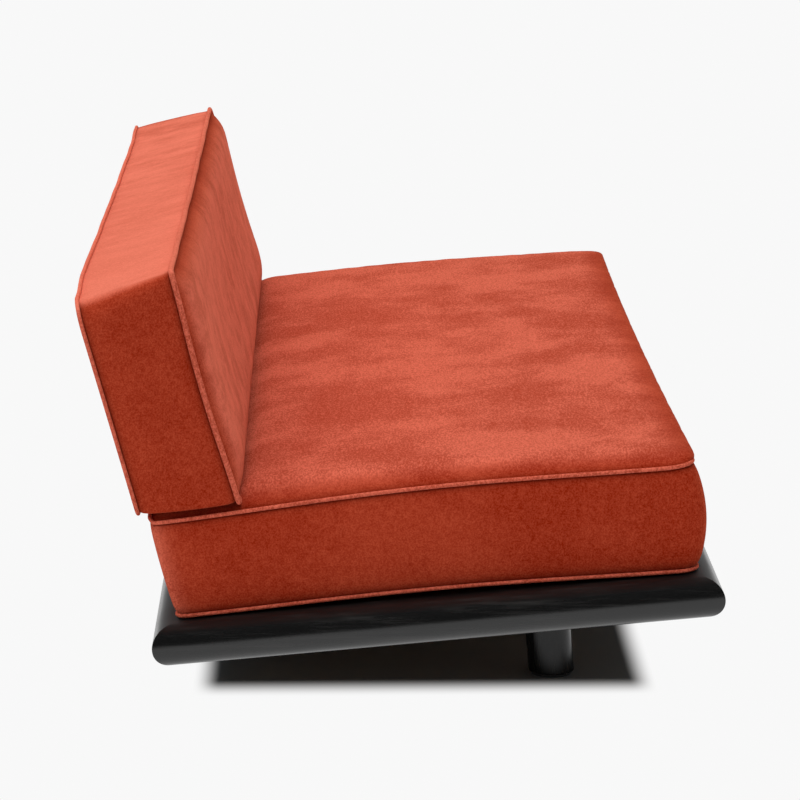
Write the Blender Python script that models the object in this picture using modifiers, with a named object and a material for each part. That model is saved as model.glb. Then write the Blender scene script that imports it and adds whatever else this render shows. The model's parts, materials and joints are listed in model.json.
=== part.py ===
"""Three-seater sofa: a raked timber base with rounded edges, one long seat cushion and one long back cushion.

Units are metres and +Z is up. X runs along the sofa, the front faces -Y, and left is -X.
The base and the seat are modelled on a deck frame that is tipped back by SEAT_RAKE. The back cushion is
modelled on a second frame that lies along the steel brackets which carry it, tipped back by BACK_RAKE.
The origin is the middle of the sofa's outline on the floor.
"""

import math
from dataclasses import dataclass

import bmesh
import bpy
from mathutils import Matrix, Vector

# Overall shape
FRAME_LENGTH = 2.190
FRAME_DEPTH = 0.885
SEAT_RAKE = math.radians(5.0)
BACK_RAKE = math.radians(15.6)
REAR_GROUND_CLEARANCE = 0.0742

# Fits
GAP = 0.0003
WELD_DISTANCE = 0.00001
CUT_MARGIN = 0.004

# Timber rails of the base
RAIL_WIDTH = 0.100
RAIL_THICKNESS = 0.064
RAIL_LOWER_RADIUS = 0.032
RAIL_ARC_STEPS = 8
SPLINE_LENGTH = 0.070
SPLINE_WIDTH = 0.040
SPLINE_THICKNESS = 0.010
CORNER_BLOCK_LEG = 0.080

# Slats and leg bearers
SLAT_COUNT = 10
SLAT_WIDTH = 0.080
SLAT_THICKNESS = 0.018
SLAT_BEARING = 0.022
BEARER_WIDTH = 0.085
BEARER_LIFT = 0.004
TENON_LENGTH = 0.025
TENON_HEIGHT = 0.026

# Legs
LEG_DIAMETER = 0.073
LEG_SIDES = 32
FRONT_LEG_SETBACK = 0.267
FRONT_LEG_INSET = 0.245
REAR_LEG_SETBACK = 0.147
REAR_LEG_INSET = 0.465
GLIDE_THICKNESS = 0.004
GLIDE_EDGE = 0.004
BOLT_DIAMETER = 0.010
BOLT_HEAD_DIAMETER = 0.022
BOLT_HEAD_HEIGHT = 0.006
BOLT_DEPTH_IN_LEG = 0.040
BOLT_SIDES = 16

# Steel brackets that carry the back
BRACKET_SETBACK = 0.0447
BRACKET_END_INSET = 0.375
BRACKET_WIDTH = 0.070
BRACKET_THICKNESS = 0.006
BRACKET_FOOT_EDGE = 0.004
BRACKET_ENGAGEMENT = 0.240
SCREW_SPREAD = 0.040
SCREW_DIAMETER = 0.005
SCREW_HEAD_DIAMETER = 0.010
SCREW_HEAD_HEIGHT = 0.003
SCREW_LENGTH = 0.036
SCREW_SIDES = 12

# Upholstery that both cushions share
PIPING_RADIUS = 0.004
PIPING_GAP = 0.0004
COVER_THICKNESS = 0.002
ZIP_LENGTH = 1.300
ZIP_WIDTH = 0.006
CUSHION_END_MARGIN = 0.045

# Seat cushion, measured from seam to seam
SEAT_FRONT_MARGIN = 0.028
SEAT_FRONT_OVERHANG = 0.007
SEAT_THICKNESS_FRONT = 0.1605
SEAT_THICKNESS_REAR = 0.146
SEAT_REAR_CLEARANCE = 0.0006
SEAT_CORNER_RADIUS = 0.040
SEAT_FRONT_BULGE = 0.018
SEAT_REAR_BULGE = 0.004
SEAT_END_BULGE = 0.010
SEAT_FRONT_DRAW = 0.008
SEAT_REAR_DRAW = 0.018
SEAT_END_DRAW = 0.008
SEAT_CROWN_FRONT = 0.0265
SEAT_CROWN_REAR = 0.041
SEAT_CROWN_RUN = 0.110
SEAT_FRONT_RUN = 0.060
SEAT_BOW = 0.009
SEAT_TUCK = 0.095
SEAT_TUCK_RUN = 0.120
SEAT_UNDERSIDE_RUN = 0.090

# Back cushion, measured from seam to seam
BACK_THICKNESS = 0.147
BACK_HEIGHT = 0.348
BACK_CLEARANCE = 0.0005
BACK_CORNER_RADIUS = 0.022
BACK_FRONT_CROWN = 0.020
BACK_REAR_CROWN = 0.010
BACK_END_RUN = 0.130
BACK_EDGE_RUN = 0.075
BACK_TOP_BULGE = 0.003
BACK_BOTTOM_BULGE = 0.003
BACK_END_BULGE = 0.008
BACK_DRAW = 0.004
PANEL_THICKNESS = 0.018
PANEL_EDGE = 0.035
BOARD_THICKNESS = 0.005
BRACKET_SLOT_CLEARANCE = 0.0008

# Distances from a cushion's seam at which its surface is divided
SEAT_LENGTH_STEPS = (SEAT_CORNER_RADIUS / 2, SEAT_CORNER_RADIUS, 0.060, 0.110, 0.300, 0.650)
SEAT_DEPTH_STEPS = (SEAT_CORNER_RADIUS / 2, SEAT_CORNER_RADIUS, 0.070, 0.110, 0.150, 0.220)
BACK_LENGTH_STEPS = (BACK_CORNER_RADIUS / 2, BACK_CORNER_RADIUS, 0.060, 0.130, 0.300, 0.650)
BACK_HEIGHT_STEPS = (BACK_CORNER_RADIUS / 2, BACK_CORNER_RADIUS, 0.045, 0.085)
BOXING_STEPS = (-0.5, 0.0, 0.5)


def ease_out(share):
    """Rises from 0 to 1, steep at first and level at the end."""
    return 1 - (1 - min(max(share, 0.0), 1.0)) ** 3


def ease_both(share):
    """Rises from 0 to 1, level at both ends."""
    held = min(max(share, 0.0), 1.0)
    return held * held * (3 - 2 * held)


@dataclass
class Swell:
    """How a cushion's panel stands out from its seams: a crown that fills over runs in from the seams.

    The crown goes from one height at the low edge to another at the high edge. A bow lifts the seams at the
    cushion's ends between their corners, and a tuck keeps the panel down beside the high edge.
    """

    low_crown: float
    high_crown: float
    end_run: float
    low_run: float
    high_run: float
    tuck: float = 0.0
    bow: float = 0.0

    def rise(self, across, end_distance, low_distance, high_distance):
        """Height of the panel over its seams."""
        crown = self.low_crown + (self.high_crown - self.low_crown) * (across + 1) / 2
        crown *= ease_out(end_distance / self.end_run) * ease_out(low_distance / self.low_run)
        if self.tuck:
            crown *= ease_both((high_distance - self.tuck) / self.high_run)
        else:
            crown *= ease_out(high_distance / self.high_run)
        return crown + self.bow * (1 - across**2) ** 2


# Sizes that follow from the ones above
HALF_LENGTH = FRAME_LENGTH / 2
HALF_DEPTH = FRAME_DEPTH / 2
RAIL_UPPER_RADIUS = RAIL_THICKNESS - RAIL_LOWER_RADIUS
INNER_HALF_LENGTH = HALF_LENGTH - RAIL_WIDTH
INNER_HALF_DEPTH = HALF_DEPTH - RAIL_WIDTH
SLAT_UNDERSIDE = RAIL_THICKNESS - SLAT_THICKNESS
BEARER_TOP = SLAT_UNDERSIDE - GAP
BEARER_MIDDLE = (BEARER_LIFT + BEARER_TOP) / 2
LEG_TOP = BEARER_LIFT - GAP
BRACKET_LEAN = BACK_RAKE - SEAT_RAKE
BRACKET_HALF = BRACKET_THICKNESS / 2
BRACKET_SPACING = HALF_LENGTH - BRACKET_END_INSET
BRACKET_Y = HALF_DEPTH - BRACKET_SETBACK
BRACKET_FOOT_FRONT = INNER_HALF_DEPTH + SLAT_BEARING + BRACKET_FOOT_EDGE
PIPING_STEP = (PIPING_RADIUS + PIPING_GAP) / math.sqrt(2)
PIPING_REACH = PIPING_STEP + PIPING_RADIUS
CUSHION_HALF_LENGTH = HALF_LENGTH - CUSHION_END_MARGIN - PIPING_REACH
FOAM_INSET = COVER_THICKNESS + GAP
SEAT_TOP_SWELL = Swell(
    low_crown=SEAT_CROWN_FRONT,
    high_crown=SEAT_CROWN_REAR,
    end_run=SEAT_CROWN_RUN,
    low_run=SEAT_FRONT_RUN,
    high_run=SEAT_TUCK_RUN,
    tuck=SEAT_TUCK,
    bow=SEAT_BOW,
)

# Seat cushion on the deck frame
SEAT_UNDERSIDE = RAIL_THICKNESS + GAP
SEAT_LOWER_SEAM = SEAT_UNDERSIDE + PIPING_REACH
SEAT_FRONT_SEAM = -HALF_DEPTH + SEAT_FRONT_MARGIN + PIPING_REACH
BRACKET_OUTER_SHARE = (BRACKET_SPACING + BRACKET_WIDTH / 2) / CUSHION_HALF_LENGTH
SEAT_REAR_SETBACK = (
    PIPING_STEP * (1 + math.tan(BRACKET_LEAN))
    + (BRACKET_HALF + PIPING_RADIUS + SEAT_REAR_CLEARANCE) / math.cos(BRACKET_LEAN)
    - SEAT_REAR_DRAW * (1 - BRACKET_OUTER_SHARE**2)
)

# Back cushion on the bracket frame: Y is square to the brackets and Z runs along them
PANEL_REAR = BRACKET_HALF + GAP
PANEL_FRONT = PANEL_REAR - PANEL_THICKNESS
BOARD_FRONT = PANEL_REAR + GAP
BACK_REAR_SEAM = BOARD_FRONT + BOARD_THICKNESS + FOAM_INSET


def seat_rear_seam(height):
    """Y of the seat's rear seam at a height on the deck frame, parallel to the brackets behind it."""
    return BRACKET_Y - SEAT_REAR_SETBACK + math.tan(BRACKET_LEAN) * (height - RAIL_THICKNESS)


SEAT_UPPER_REAR_SEAM = SEAT_LOWER_SEAM + SEAT_THICKNESS_REAR
SEAT_TOP_LENGTH = seat_rear_seam(SEAT_UPPER_REAR_SEAM) - SEAT_FRONT_SEAM + SEAT_FRONT_OVERHANG
SEAT_TOP_TILT = math.atan2(SEAT_THICKNESS_FRONT - SEAT_THICKNESS_REAR, SEAT_TOP_LENGTH)
UNDER_BACK = (BACK_THICKNESS - BACK_REAR_SEAM + PIPING_REACH) * math.cos(BRACKET_LEAN) - SEAT_REAR_SETBACK
UNDER_BACK_SHARE = 1 - 2 * UNDER_BACK / SEAT_TOP_LENGTH
UNDER_BACK_RISE = SEAT_TOP_SWELL.rise(UNDER_BACK_SHARE, HALF_LENGTH, SEAT_TOP_LENGTH, UNDER_BACK)
BACK_STAND_OFF = UNDER_BACK_RISE + PIPING_REACH + BACK_CLEARANCE
BACK_BOTTOM = (
    SEAT_UPPER_REAR_SEAM + BACK_STAND_OFF - RAIL_THICKNESS + BACK_REAR_SEAM * math.sin(BRACKET_LEAN)
) / math.cos(BRACKET_LEAN)
BACK_BOTTOM_DROP = BACK_THICKNESS * math.tan(BRACKET_LEAN - SEAT_TOP_TILT)
BACK_TOP = BACK_BOTTOM + BACK_HEIGHT
BRACKET_TOP = BACK_BOTTOM + BRACKET_ENGAGEMENT
PANEL_BOTTOM = BACK_BOTTOM + PANEL_EDGE
PANEL_TOP = BACK_TOP - PANEL_EDGE
PANEL_HALF_LENGTH = CUSHION_HALF_LENGTH - PANEL_EDGE

# Place of the deck frame in the world, with the outline's middle at Y 0
DECK_Z = REAR_GROUND_CLEARANCE + (HALF_DEPTH - RAIL_LOWER_RADIUS) * math.sin(SEAT_RAKE)
FRONT_REACH = (
    (HALF_DEPTH - RAIL_LOWER_RADIUS) * math.cos(SEAT_RAKE)
    - RAIL_LOWER_RADIUS * math.sin(SEAT_RAKE)
    + RAIL_LOWER_RADIUS
)
REAR_REACH = (
    BRACKET_Y * math.cos(SEAT_RAKE)
    + RAIL_THICKNESS * math.sin(SEAT_RAKE)
    + (BACK_TOP + PIPING_STEP) * math.sin(BACK_RAKE)
    + (BACK_REAR_SEAM + PIPING_STEP) * math.cos(BACK_RAKE)
    + PIPING_RADIUS
)
DECK_Y = (FRONT_REACH - REAR_REACH) / 2

# Colours
VELVET_COLOUR = (0.42, 0.075, 0.036)
PIPING_COLOUR = (0.40, 0.070, 0.034)
BLACK_WOOD_COLOUR = (0.010, 0.010, 0.010)
BEECH_COLOUR = (0.52, 0.36, 0.20)
STEEL_COLOUR = (0.05, 0.05, 0.05)
ZINC_COLOUR = (0.55, 0.55, 0.56)
FOAM_COLOUR = (0.80, 0.72, 0.52)
GLIDE_COLOUR = (0.04, 0.04, 0.04)

# Sections are drawn flat in X and Y and thickened along Z. These turn them to run along X, or keep them level.
SECTION_ALONG_X = Matrix(((0, 0, 1, 0), (1, 0, 0, 0), (0, 1, 0, 0), (0, 0, 0, 1)))
SECTION_LEVEL = Matrix.Identity(4)


def clear_scene():
    """Removes whatever the file opened with."""
    for old in list(bpy.data.objects):
        bpy.data.objects.remove(old, do_unlink=True)


def new_collection(name):
    """Adds a collection to the scene."""
    collection = bpy.data.collections.new(name)
    bpy.context.scene.collection.children.link(collection)
    return collection


def new_frame(name, collection, location, lean, parent=None):
    """Adds an empty that is tipped back about X, for pieces to be placed on."""
    frame = bpy.data.objects.new(name, None)
    frame.location = location
    frame.rotation_euler = (-lean, 0.0, 0.0)
    frame.parent = parent
    collection.objects.link(frame)
    return frame


def new_material(name, colour, roughness, metallic=0.0):
    """Makes a plain material with one colour."""
    material = bpy.data.materials.new(name)
    material.use_nodes = True
    shader = material.node_tree.nodes["Principled BSDF"]
    shader.inputs["Base Color"].default_value = (*colour, 1.0)
    shader.inputs["Roughness"].default_value = roughness
    shader.inputs["Metallic"].default_value = metallic
    return material


clear_scene()
SOFA = new_collection("three_seater_sofa")
CUTTERS = new_collection("cutters")
DECK = new_frame("deck_frame", SOFA, (0.0, DECK_Y, DECK_Z), SEAT_RAKE)
BRACKET_BASE = (0.0, BRACKET_Y, RAIL_THICKNESS)
BACK = new_frame("bracket_frame", SOFA, BRACKET_BASE, BRACKET_LEAN, DECK)

VELVET = new_material("rust_velvet", VELVET_COLOUR, 0.85)
PIPING = new_material("rust_piping", PIPING_COLOUR, 0.80)
BLACK_WOOD = new_material("black_stained_wood", BLACK_WOOD_COLOUR, 0.40)
BEECH = new_material("beech", BEECH_COLOUR, 0.55)
STEEL = new_material("black_steel", STEEL_COLOUR, 0.45, 0.9)
ZINC = new_material("zinc_plated_steel", ZINC_COLOUR, 0.35, 1.0)
FOAM = new_material("foam", FOAM_COLOUR, 0.95)
GLIDE = new_material("nylon_glide", GLIDE_COLOUR, 0.60)


def to_mesh(name, form):
    """Turns a bmesh into a mesh, flat shaded but for round stretches."""
    mesh = bpy.data.meshes.new(name)
    form.to_mesh(mesh)
    form.free()
    mesh.shade_smooth()
    mesh.set_sharp_from_angle(angle=math.radians(35.0))
    return mesh


def box_mesh(name, low, high):
    """A box between two opposite corners."""
    size = Vector(high) - Vector(low)
    middle = (Vector(high) + Vector(low)) / 2
    form = bmesh.new()
    bmesh.ops.create_cube(form, size=1.0, matrix=Matrix.Translation(middle) @ Matrix.Diagonal((*size, 1.0)))
    return to_mesh(name, form)


def is_level(face):
    """Whether all corners of a face have the same height."""
    heights = [vert.co.z for vert in face.verts]
    return max(heights) - min(heights) < WELD_DISTANCE


def outline_mesh(name, points, half_thickness, turn):
    """A flat closed outline thickened both ways along its own Z, turned into place as a welded mesh."""
    curve = bpy.data.curves.new(name, "CURVE")
    curve.dimensions = "2D"
    curve.fill_mode = "BOTH"
    curve.extrude = half_thickness
    spline = curve.splines.new("POLY")
    spline.points.add(len(points) - 1)
    spline.use_cyclic_u = True
    for target, point in zip(spline.points, points):
        target.co = (*point, 0.0, 1.0)
    holder = bpy.data.objects.new(name, curve)
    bpy.context.scene.collection.objects.link(holder)
    evaluated = holder.evaluated_get(bpy.context.evaluated_depsgraph_get())
    filled = bpy.data.meshes.new_from_object(evaluated)
    form = bmesh.new()
    form.from_mesh(filled)
    bpy.data.objects.remove(holder)
    bpy.data.curves.remove(curve)
    bpy.data.meshes.remove(filled)
    bmesh.ops.remove_doubles(form, verts=form.verts, dist=WELD_DISTANCE)
    inner_edges = [edge for edge in form.edges if all(is_level(face) for face in edge.link_faces)]
    bmesh.ops.dissolve_edges(form, edges=inner_edges)
    bmesh.ops.transform(form, matrix=turn, verts=form.verts)
    bmesh.ops.recalc_face_normals(form, faces=form.faces)
    return to_mesh(name, form)


def slice_off(form, point, normal):
    """Cuts away all that lies beyond a plane and closes the cut."""
    geometry = form.verts[:] + form.edges[:] + form.faces[:]
    bmesh.ops.bisect_plane(form, geom=geometry, plane_co=point, plane_no=normal, clear_outer=True)
    open_edges = [edge for edge in form.edges if edge.is_boundary]
    bmesh.ops.holes_fill(form, edges=open_edges)


def place(item, collection, parent, location=(0.0, 0.0, 0.0), turn=0.0):
    """Puts an object on a frame, turned about the frame's Z."""
    item.parent = parent
    item.location = location
    item.rotation_euler = (0.0, 0.0, turn)
    collection.objects.link(item)
    return item


def add_part(name, mesh, material, parent, location=(0.0, 0.0, 0.0), turn=0.0):
    """Adds one piece of the sofa."""
    mesh.materials.append(material)
    return place(bpy.data.objects.new(name, mesh), SOFA, parent, location, turn)


def add_cutter(name, mesh, parent, location=(0.0, 0.0, 0.0), turn=0.0):
    """Adds a shape that is only used to cut pieces."""
    cutter = place(bpy.data.objects.new(name, mesh), CUTTERS, parent, location, turn)
    cutter.hide_render = True
    cutter.display_type = "WIRE"
    return cutter


def cut(part, cutter, operation="DIFFERENCE"):
    """Cuts a piece with a cutter."""
    modifier = part.modifiers.new(cutter.name, "BOOLEAN")
    modifier.operation = operation
    modifier.solver = "EXACT"
    modifier.object = cutter


def turn_profile(item, sides):
    """Spins an object's profile, drawn at +X from top to bottom, about its Z axis."""
    screw = item.modifiers.new("turn", "SCREW")
    screw.steps = sides
    screw.render_steps = sides
    screw.use_merge_vertices = True
    screw.merge_threshold = WELD_DISTANCE
    return item


def profile_mesh(name, profile):
    """The edge line of a turned piece, given as (radius, height) points."""
    form = bmesh.new()
    corners = [form.verts.new((radius, 0.0, height)) for radius, height in profile]
    for upper, lower in zip(corners, corners[1:]):
        form.edges.new((upper, lower))
    mesh = bpy.data.meshes.new(name)
    form.to_mesh(mesh)
    form.free()
    return mesh


# Base: four mitred rails

def rail_section(housing):
    """Section of a rail as (distance in from the outer edge, height), with a housing cut in its inner top edge."""
    points = []
    for step in range(RAIL_ARC_STEPS + 1):
        angle = math.radians(270.0 - 90.0 * step / RAIL_ARC_STEPS)
        across = RAIL_LOWER_RADIUS * (1 + math.cos(angle))
        points.append((across, RAIL_LOWER_RADIUS * (1 + math.sin(angle))))
    for step in range(1, RAIL_ARC_STEPS + 1):
        angle = math.radians(180.0 - 90.0 * step / RAIL_ARC_STEPS)
        across = RAIL_UPPER_RADIUS * (1 + math.cos(angle))
        points.append((across, RAIL_LOWER_RADIUS + RAIL_UPPER_RADIUS * math.sin(angle)))
    if housing:
        points.append((RAIL_WIDTH - SLAT_BEARING, RAIL_THICKNESS))
        points.append((RAIL_WIDTH - SLAT_BEARING, SLAT_UNDERSIDE - GAP))
        points.append((RAIL_WIDTH, SLAT_UNDERSIDE - GAP))
    else:
        points.append((RAIL_WIDTH, RAIL_THICKNESS))
    points.append((RAIL_WIDTH, 0.0))
    return points


def rail_mesh(name, half_length, housing):
    """A rail along X, its outer edge on Y 0, with both ends mitred."""
    mesh = outline_mesh(name, rail_section(housing), half_length, SECTION_ALONG_X)
    form = bmesh.new()
    form.from_mesh(mesh)
    bpy.data.meshes.remove(mesh)
    for side in (-1, 1):
        normal = Vector((side, 1.0, 0.0)).normalized()
        slice_off(form, Vector((side * half_length, 0.0, 0.0)) - normal * GAP / 2, normal)
    return to_mesh(name, form)


def add_rails():
    """The four rails of the base, by name."""
    half_turn = math.pi
    quarter_turn = math.pi / 2
    plan = {
        "front_rail": (HALF_LENGTH, True, (0.0, -HALF_DEPTH, 0.0), 0.0),
        "rear_rail": (HALF_LENGTH, True, (0.0, HALF_DEPTH, 0.0), half_turn),
        "left_end_rail": (HALF_DEPTH, False, (-HALF_LENGTH, 0.0, 0.0), -quarter_turn),
        "right_end_rail": (HALF_DEPTH, False, (HALF_LENGTH, 0.0, 0.0), quarter_turn),
    }
    rails = {}
    for name, (half_length, housing, location, turn) in plan.items():
        mesh = rail_mesh(name, half_length, housing)
        rails[name] = add_part(name, mesh, BLACK_WOOD, DECK, location, turn)
    return rails


def add_corners(rails):
    """A loose spline across each mitre and a glued block inside each corner."""
    for end, x_side in (("left", -1), ("right", 1)):
        for edge, y_side in (("front", -1), ("rear", 1)):
            corner = f"{edge}_{end}"
            middle = (
                x_side * (HALF_LENGTH - RAIL_WIDTH / 2),
                y_side * (HALF_DEPTH - RAIL_WIDTH / 2),
                RAIL_THICKNESS / 2,
            )
            turn = math.radians(45.0) * x_side * y_side
            half = Vector((SPLINE_LENGTH, SPLINE_WIDTH, SPLINE_THICKNESS)) / 2
            room = half + Vector((GAP, GAP, GAP))
            name = f"mitre_spline_{corner}"
            add_part(name, box_mesh(name, -half, half), BEECH, DECK, middle, turn)
            slot_name = f"{name}_slot"
            slot = add_cutter(slot_name, box_mesh(slot_name, -room, room), DECK, middle, turn)
            cut(rails[f"{edge}_rail"], slot)
            cut(rails[f"{end}_end_rail"], slot)

            name = f"corner_block_{corner}"
            x_corner = x_side * (INNER_HALF_LENGTH - GAP)
            y_corner = y_side * (INNER_HALF_DEPTH - GAP)
            triangle = (
                (x_corner, y_corner),
                (x_corner - x_side * CORNER_BLOCK_LEG, y_corner),
                (x_corner, y_corner - y_side * CORNER_BLOCK_LEG),
            )
            half_height = (BEARER_TOP - BEARER_LIFT) / 2
            mesh = outline_mesh(name, triangle, half_height, SECTION_LEVEL)
            add_part(name, mesh, BEECH, DECK, (0.0, 0.0, BEARER_MIDDLE))


def add_slats():
    """Beech slats across the base, their ends let into the front and rear rails."""
    half_length = INNER_HALF_DEPTH + SLAT_BEARING - GAP
    pitch = 2 * INNER_HALF_LENGTH / SLAT_COUNT
    for number in range(1, SLAT_COUNT + 1):
        middle = -INNER_HALF_LENGTH + pitch * (number - 0.5)
        name = f"seat_slat_{number:02d}"
        low = (-SLAT_WIDTH / 2, -half_length, SLAT_UNDERSIDE)
        high = (SLAT_WIDTH / 2, half_length, RAIL_THICKNESS)
        add_part(name, box_mesh(name, low, high), BEECH, DECK, (middle, 0.0, 0.0))


# Base: bearers and legs

def bearer_section():
    """Side view of a bearer as (Y, height), with a stub tenon on each end."""
    shoulder = INNER_HALF_DEPTH - GAP
    tip = INNER_HALF_DEPTH + TENON_LENGTH
    tenon_low = BEARER_MIDDLE - TENON_HEIGHT / 2
    tenon_high = BEARER_MIDDLE + TENON_HEIGHT / 2
    half = [
        (shoulder, BEARER_LIFT),
        (shoulder, tenon_low),
        (tip, tenon_low),
        (tip, tenon_high),
        (shoulder, tenon_high),
        (shoulder, BEARER_TOP),
    ]
    return half + [(-y, height) for y, height in reversed(half)]


def add_mortises(rails, name, middle):
    """Cuts the front and rear rails for one bearer's tenons."""
    half_width = BEARER_WIDTH / 2 + GAP
    low = BEARER_MIDDLE - TENON_HEIGHT / 2 - GAP
    high = BEARER_MIDDLE + TENON_HEIGHT / 2 + GAP
    near = INNER_HALF_DEPTH - CUT_MARGIN
    far = INNER_HALF_DEPTH + TENON_LENGTH + GAP
    for rail, ends in (("front_rail", (-far, -near)), ("rear_rail", (near, far))):
        cutter_name = f"{name}_{rail}_mortise"
        corner_low = (middle - half_width, ends[0], low)
        corner_high = (middle + half_width, ends[1], high)
        cut(rails[rail], add_cutter(cutter_name, box_mesh(cutter_name, corner_low, corner_high), DECK))


def leg_mesh(name, y):
    """A leg square to the deck, centred on X 0 and Y 0, its foot cut level with the floor."""
    floor_height = GLIDE_THICKNESS + GAP
    foot = (floor_height - DECK_Z + y * math.sin(SEAT_RAKE)) / math.cos(SEAT_RAKE)
    spare = LEG_DIAMETER
    low = foot - spare
    form = bmesh.new()
    bmesh.ops.create_cone(
        form,
        cap_ends=True,
        segments=LEG_SIDES,
        radius1=LEG_DIAMETER / 2,
        radius2=LEG_DIAMETER / 2,
        depth=LEG_TOP - low,
        matrix=Matrix.Translation((0.0, 0.0, (LEG_TOP + low) / 2)),
    )
    downward = Vector((0.0, math.sin(SEAT_RAKE), -math.cos(SEAT_RAKE)))
    slice_off(form, (0.0, 0.0, foot), downward)
    return to_mesh(name, form), foot


def bolt_profile(clearance, top):
    """A leg bolt's outline from its head down, with a clearance for the hole that takes it."""
    head = BOLT_HEAD_DIAMETER / 2 + clearance
    shank = BOLT_DIAMETER / 2 + clearance
    underhead = BEARER_TOP - GAP - BOLT_HEAD_HEIGHT - clearance
    tip = LEG_TOP - BOLT_DEPTH_IN_LEG - clearance
    return [(0.0, top), (head, top), (head, underhead), (shank, underhead), (shank, tip), (0.0, tip)]


def add_leg(rails, corner, x, y):
    """One leg with the bearer that holds it, its bolt and the glide under it."""
    bearer_name = f"leg_bearer_{corner}"
    mesh = outline_mesh(bearer_name, bearer_section(), BEARER_WIDTH / 2, SECTION_ALONG_X)
    bearer = add_part(bearer_name, mesh, BEECH, DECK, (x, 0.0, 0.0))
    add_mortises(rails, bearer_name, x)

    mesh, foot = leg_mesh(f"leg_{corner}", y)
    leg = add_part(f"leg_{corner}", mesh, BLACK_WOOD, DECK, (x, y, 0.0))

    bolt_name = f"leg_bolt_{corner}"
    bolt_mesh = profile_mesh(bolt_name, bolt_profile(0.0, BEARER_TOP - GAP))
    turn_profile(add_part(bolt_name, bolt_mesh, ZINC, DECK, (x, y, 0.0)), BOLT_SIDES)
    hole_name = f"{bolt_name}_hole"
    hole_mesh = profile_mesh(hole_name, bolt_profile(GAP, BEARER_TOP + CUT_MARGIN))
    hole = turn_profile(add_cutter(hole_name, hole_mesh, DECK, (x, y, 0.0)), BOLT_SIDES)
    cut(bearer, hole)
    cut(leg, hole)

    glide_name = f"leg_glide_{corner}"
    radius = LEG_DIAMETER / 2 - GLIDE_EDGE
    glide_mesh = profile_mesh(
        glide_name,
        [(0.0, GLIDE_THICKNESS), (radius, GLIDE_THICKNESS), (radius, 0.0), (0.0, 0.0)],
    )
    floor_y = DECK_Y + y * math.cos(SEAT_RAKE) + foot * math.sin(SEAT_RAKE)
    turn_profile(add_part(glide_name, glide_mesh, GLIDE, None, (x, floor_y, 0.0)), LEG_SIDES)


def add_legs(rails):
    """Four legs: the rear pair stands further in from the ends than the front pair."""
    front_y = -HALF_DEPTH + FRONT_LEG_SETBACK
    rear_y = HALF_DEPTH - REAR_LEG_SETBACK
    for end, side in (("left", -1), ("right", 1)):
        add_leg(rails, f"front_{end}", side * (HALF_LENGTH - FRONT_LEG_INSET), front_y)
        add_leg(rails, f"rear_{end}", side * (HALF_LENGTH - REAR_LEG_INSET), rear_y)


# Base: brackets for the back

def bracket_section():
    """Side view of a bracket as (Y, height): a foot let into the rear rail and an upright that leans back."""
    lean_y = math.sin(BRACKET_LEAN)
    lean_z = math.cos(BRACKET_LEAN)
    slope = math.tan(BRACKET_LEAN)
    half_level = BRACKET_HALF / lean_z
    foot_low = RAIL_THICKNESS - BRACKET_THICKNESS
    top_y = BRACKET_Y + BRACKET_TOP * lean_y
    top_z = RAIL_THICKNESS + BRACKET_TOP * lean_z
    return [
        (BRACKET_FOOT_FRONT, foot_low),
        (BRACKET_Y + half_level - BRACKET_THICKNESS * slope, foot_low),
        (top_y + BRACKET_HALF * lean_z, top_z - BRACKET_HALF * lean_y),
        (top_y - BRACKET_HALF * lean_z, top_z + BRACKET_HALF * lean_y),
        (BRACKET_Y - half_level, RAIL_THICKNESS),
        (BRACKET_FOOT_FRONT, RAIL_THICKNESS),
    ]


def screw_profile(clearance, top):
    """A countersunk screw's outline from its head down, with a clearance for the hole that takes it."""
    head = SCREW_HEAD_DIAMETER / 2 + clearance
    shank = SCREW_DIAMETER / 2 + clearance
    face = RAIL_THICKNESS - GAP
    neck = face - SCREW_HEAD_HEIGHT - clearance
    tip = face - SCREW_LENGTH - clearance
    return [(0.0, top), (head, top), (head, face - clearance), (shank, neck), (shank, tip), (0.0, tip)]


def add_bracket(rear_rail, place_name, x):
    """One steel bracket and its two screws, let into the rear rail."""
    name = f"back_bracket_{place_name}"
    mesh = outline_mesh(name, bracket_section(), BRACKET_WIDTH / 2, SECTION_ALONG_X)
    bracket = add_part(name, mesh, STEEL, DECK, (x, 0.0, 0.0))

    recess_name = f"{name}_recess"
    rear = BRACKET_Y + BRACKET_HALF / math.cos(BRACKET_LEAN) + GAP
    low = (-BRACKET_WIDTH / 2 - GAP, BRACKET_FOOT_FRONT - GAP, RAIL_THICKNESS - BRACKET_THICKNESS - GAP)
    high = (BRACKET_WIDTH / 2 + GAP, rear, RAIL_THICKNESS + CUT_MARGIN)
    cut(rear_rail, add_cutter(recess_name, box_mesh(recess_name, low, high), DECK, (x, 0.0, 0.0)))

    foot_back = BRACKET_Y - BRACKET_HALF / math.cos(BRACKET_LEAN)
    screw_y = (BRACKET_FOOT_FRONT + foot_back) / 2
    for side_name, side in (("a", -1), ("b", 1)):
        location = (x + side * SCREW_SPREAD / 2, screw_y, 0.0)
        screw_name = f"bracket_screw_{place_name}_{side_name}"
        screw_mesh = profile_mesh(screw_name, screw_profile(0.0, RAIL_THICKNESS - GAP))
        turn_profile(add_part(screw_name, screw_mesh, ZINC, DECK, location), SCREW_SIDES)
        hole_name = f"{screw_name}_hole"
        hole_mesh = profile_mesh(hole_name, screw_profile(GAP, RAIL_THICKNESS + CUT_MARGIN))
        hole = turn_profile(add_cutter(hole_name, hole_mesh, DECK, location), SCREW_SIDES)
        cut(bracket, hole)
        cut(rear_rail, hole)


def bracket_places():
    """Names and X positions of the three brackets."""
    return (("left", -BRACKET_SPACING), ("centre", 0.0), ("right", BRACKET_SPACING))


# Cushions

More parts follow.
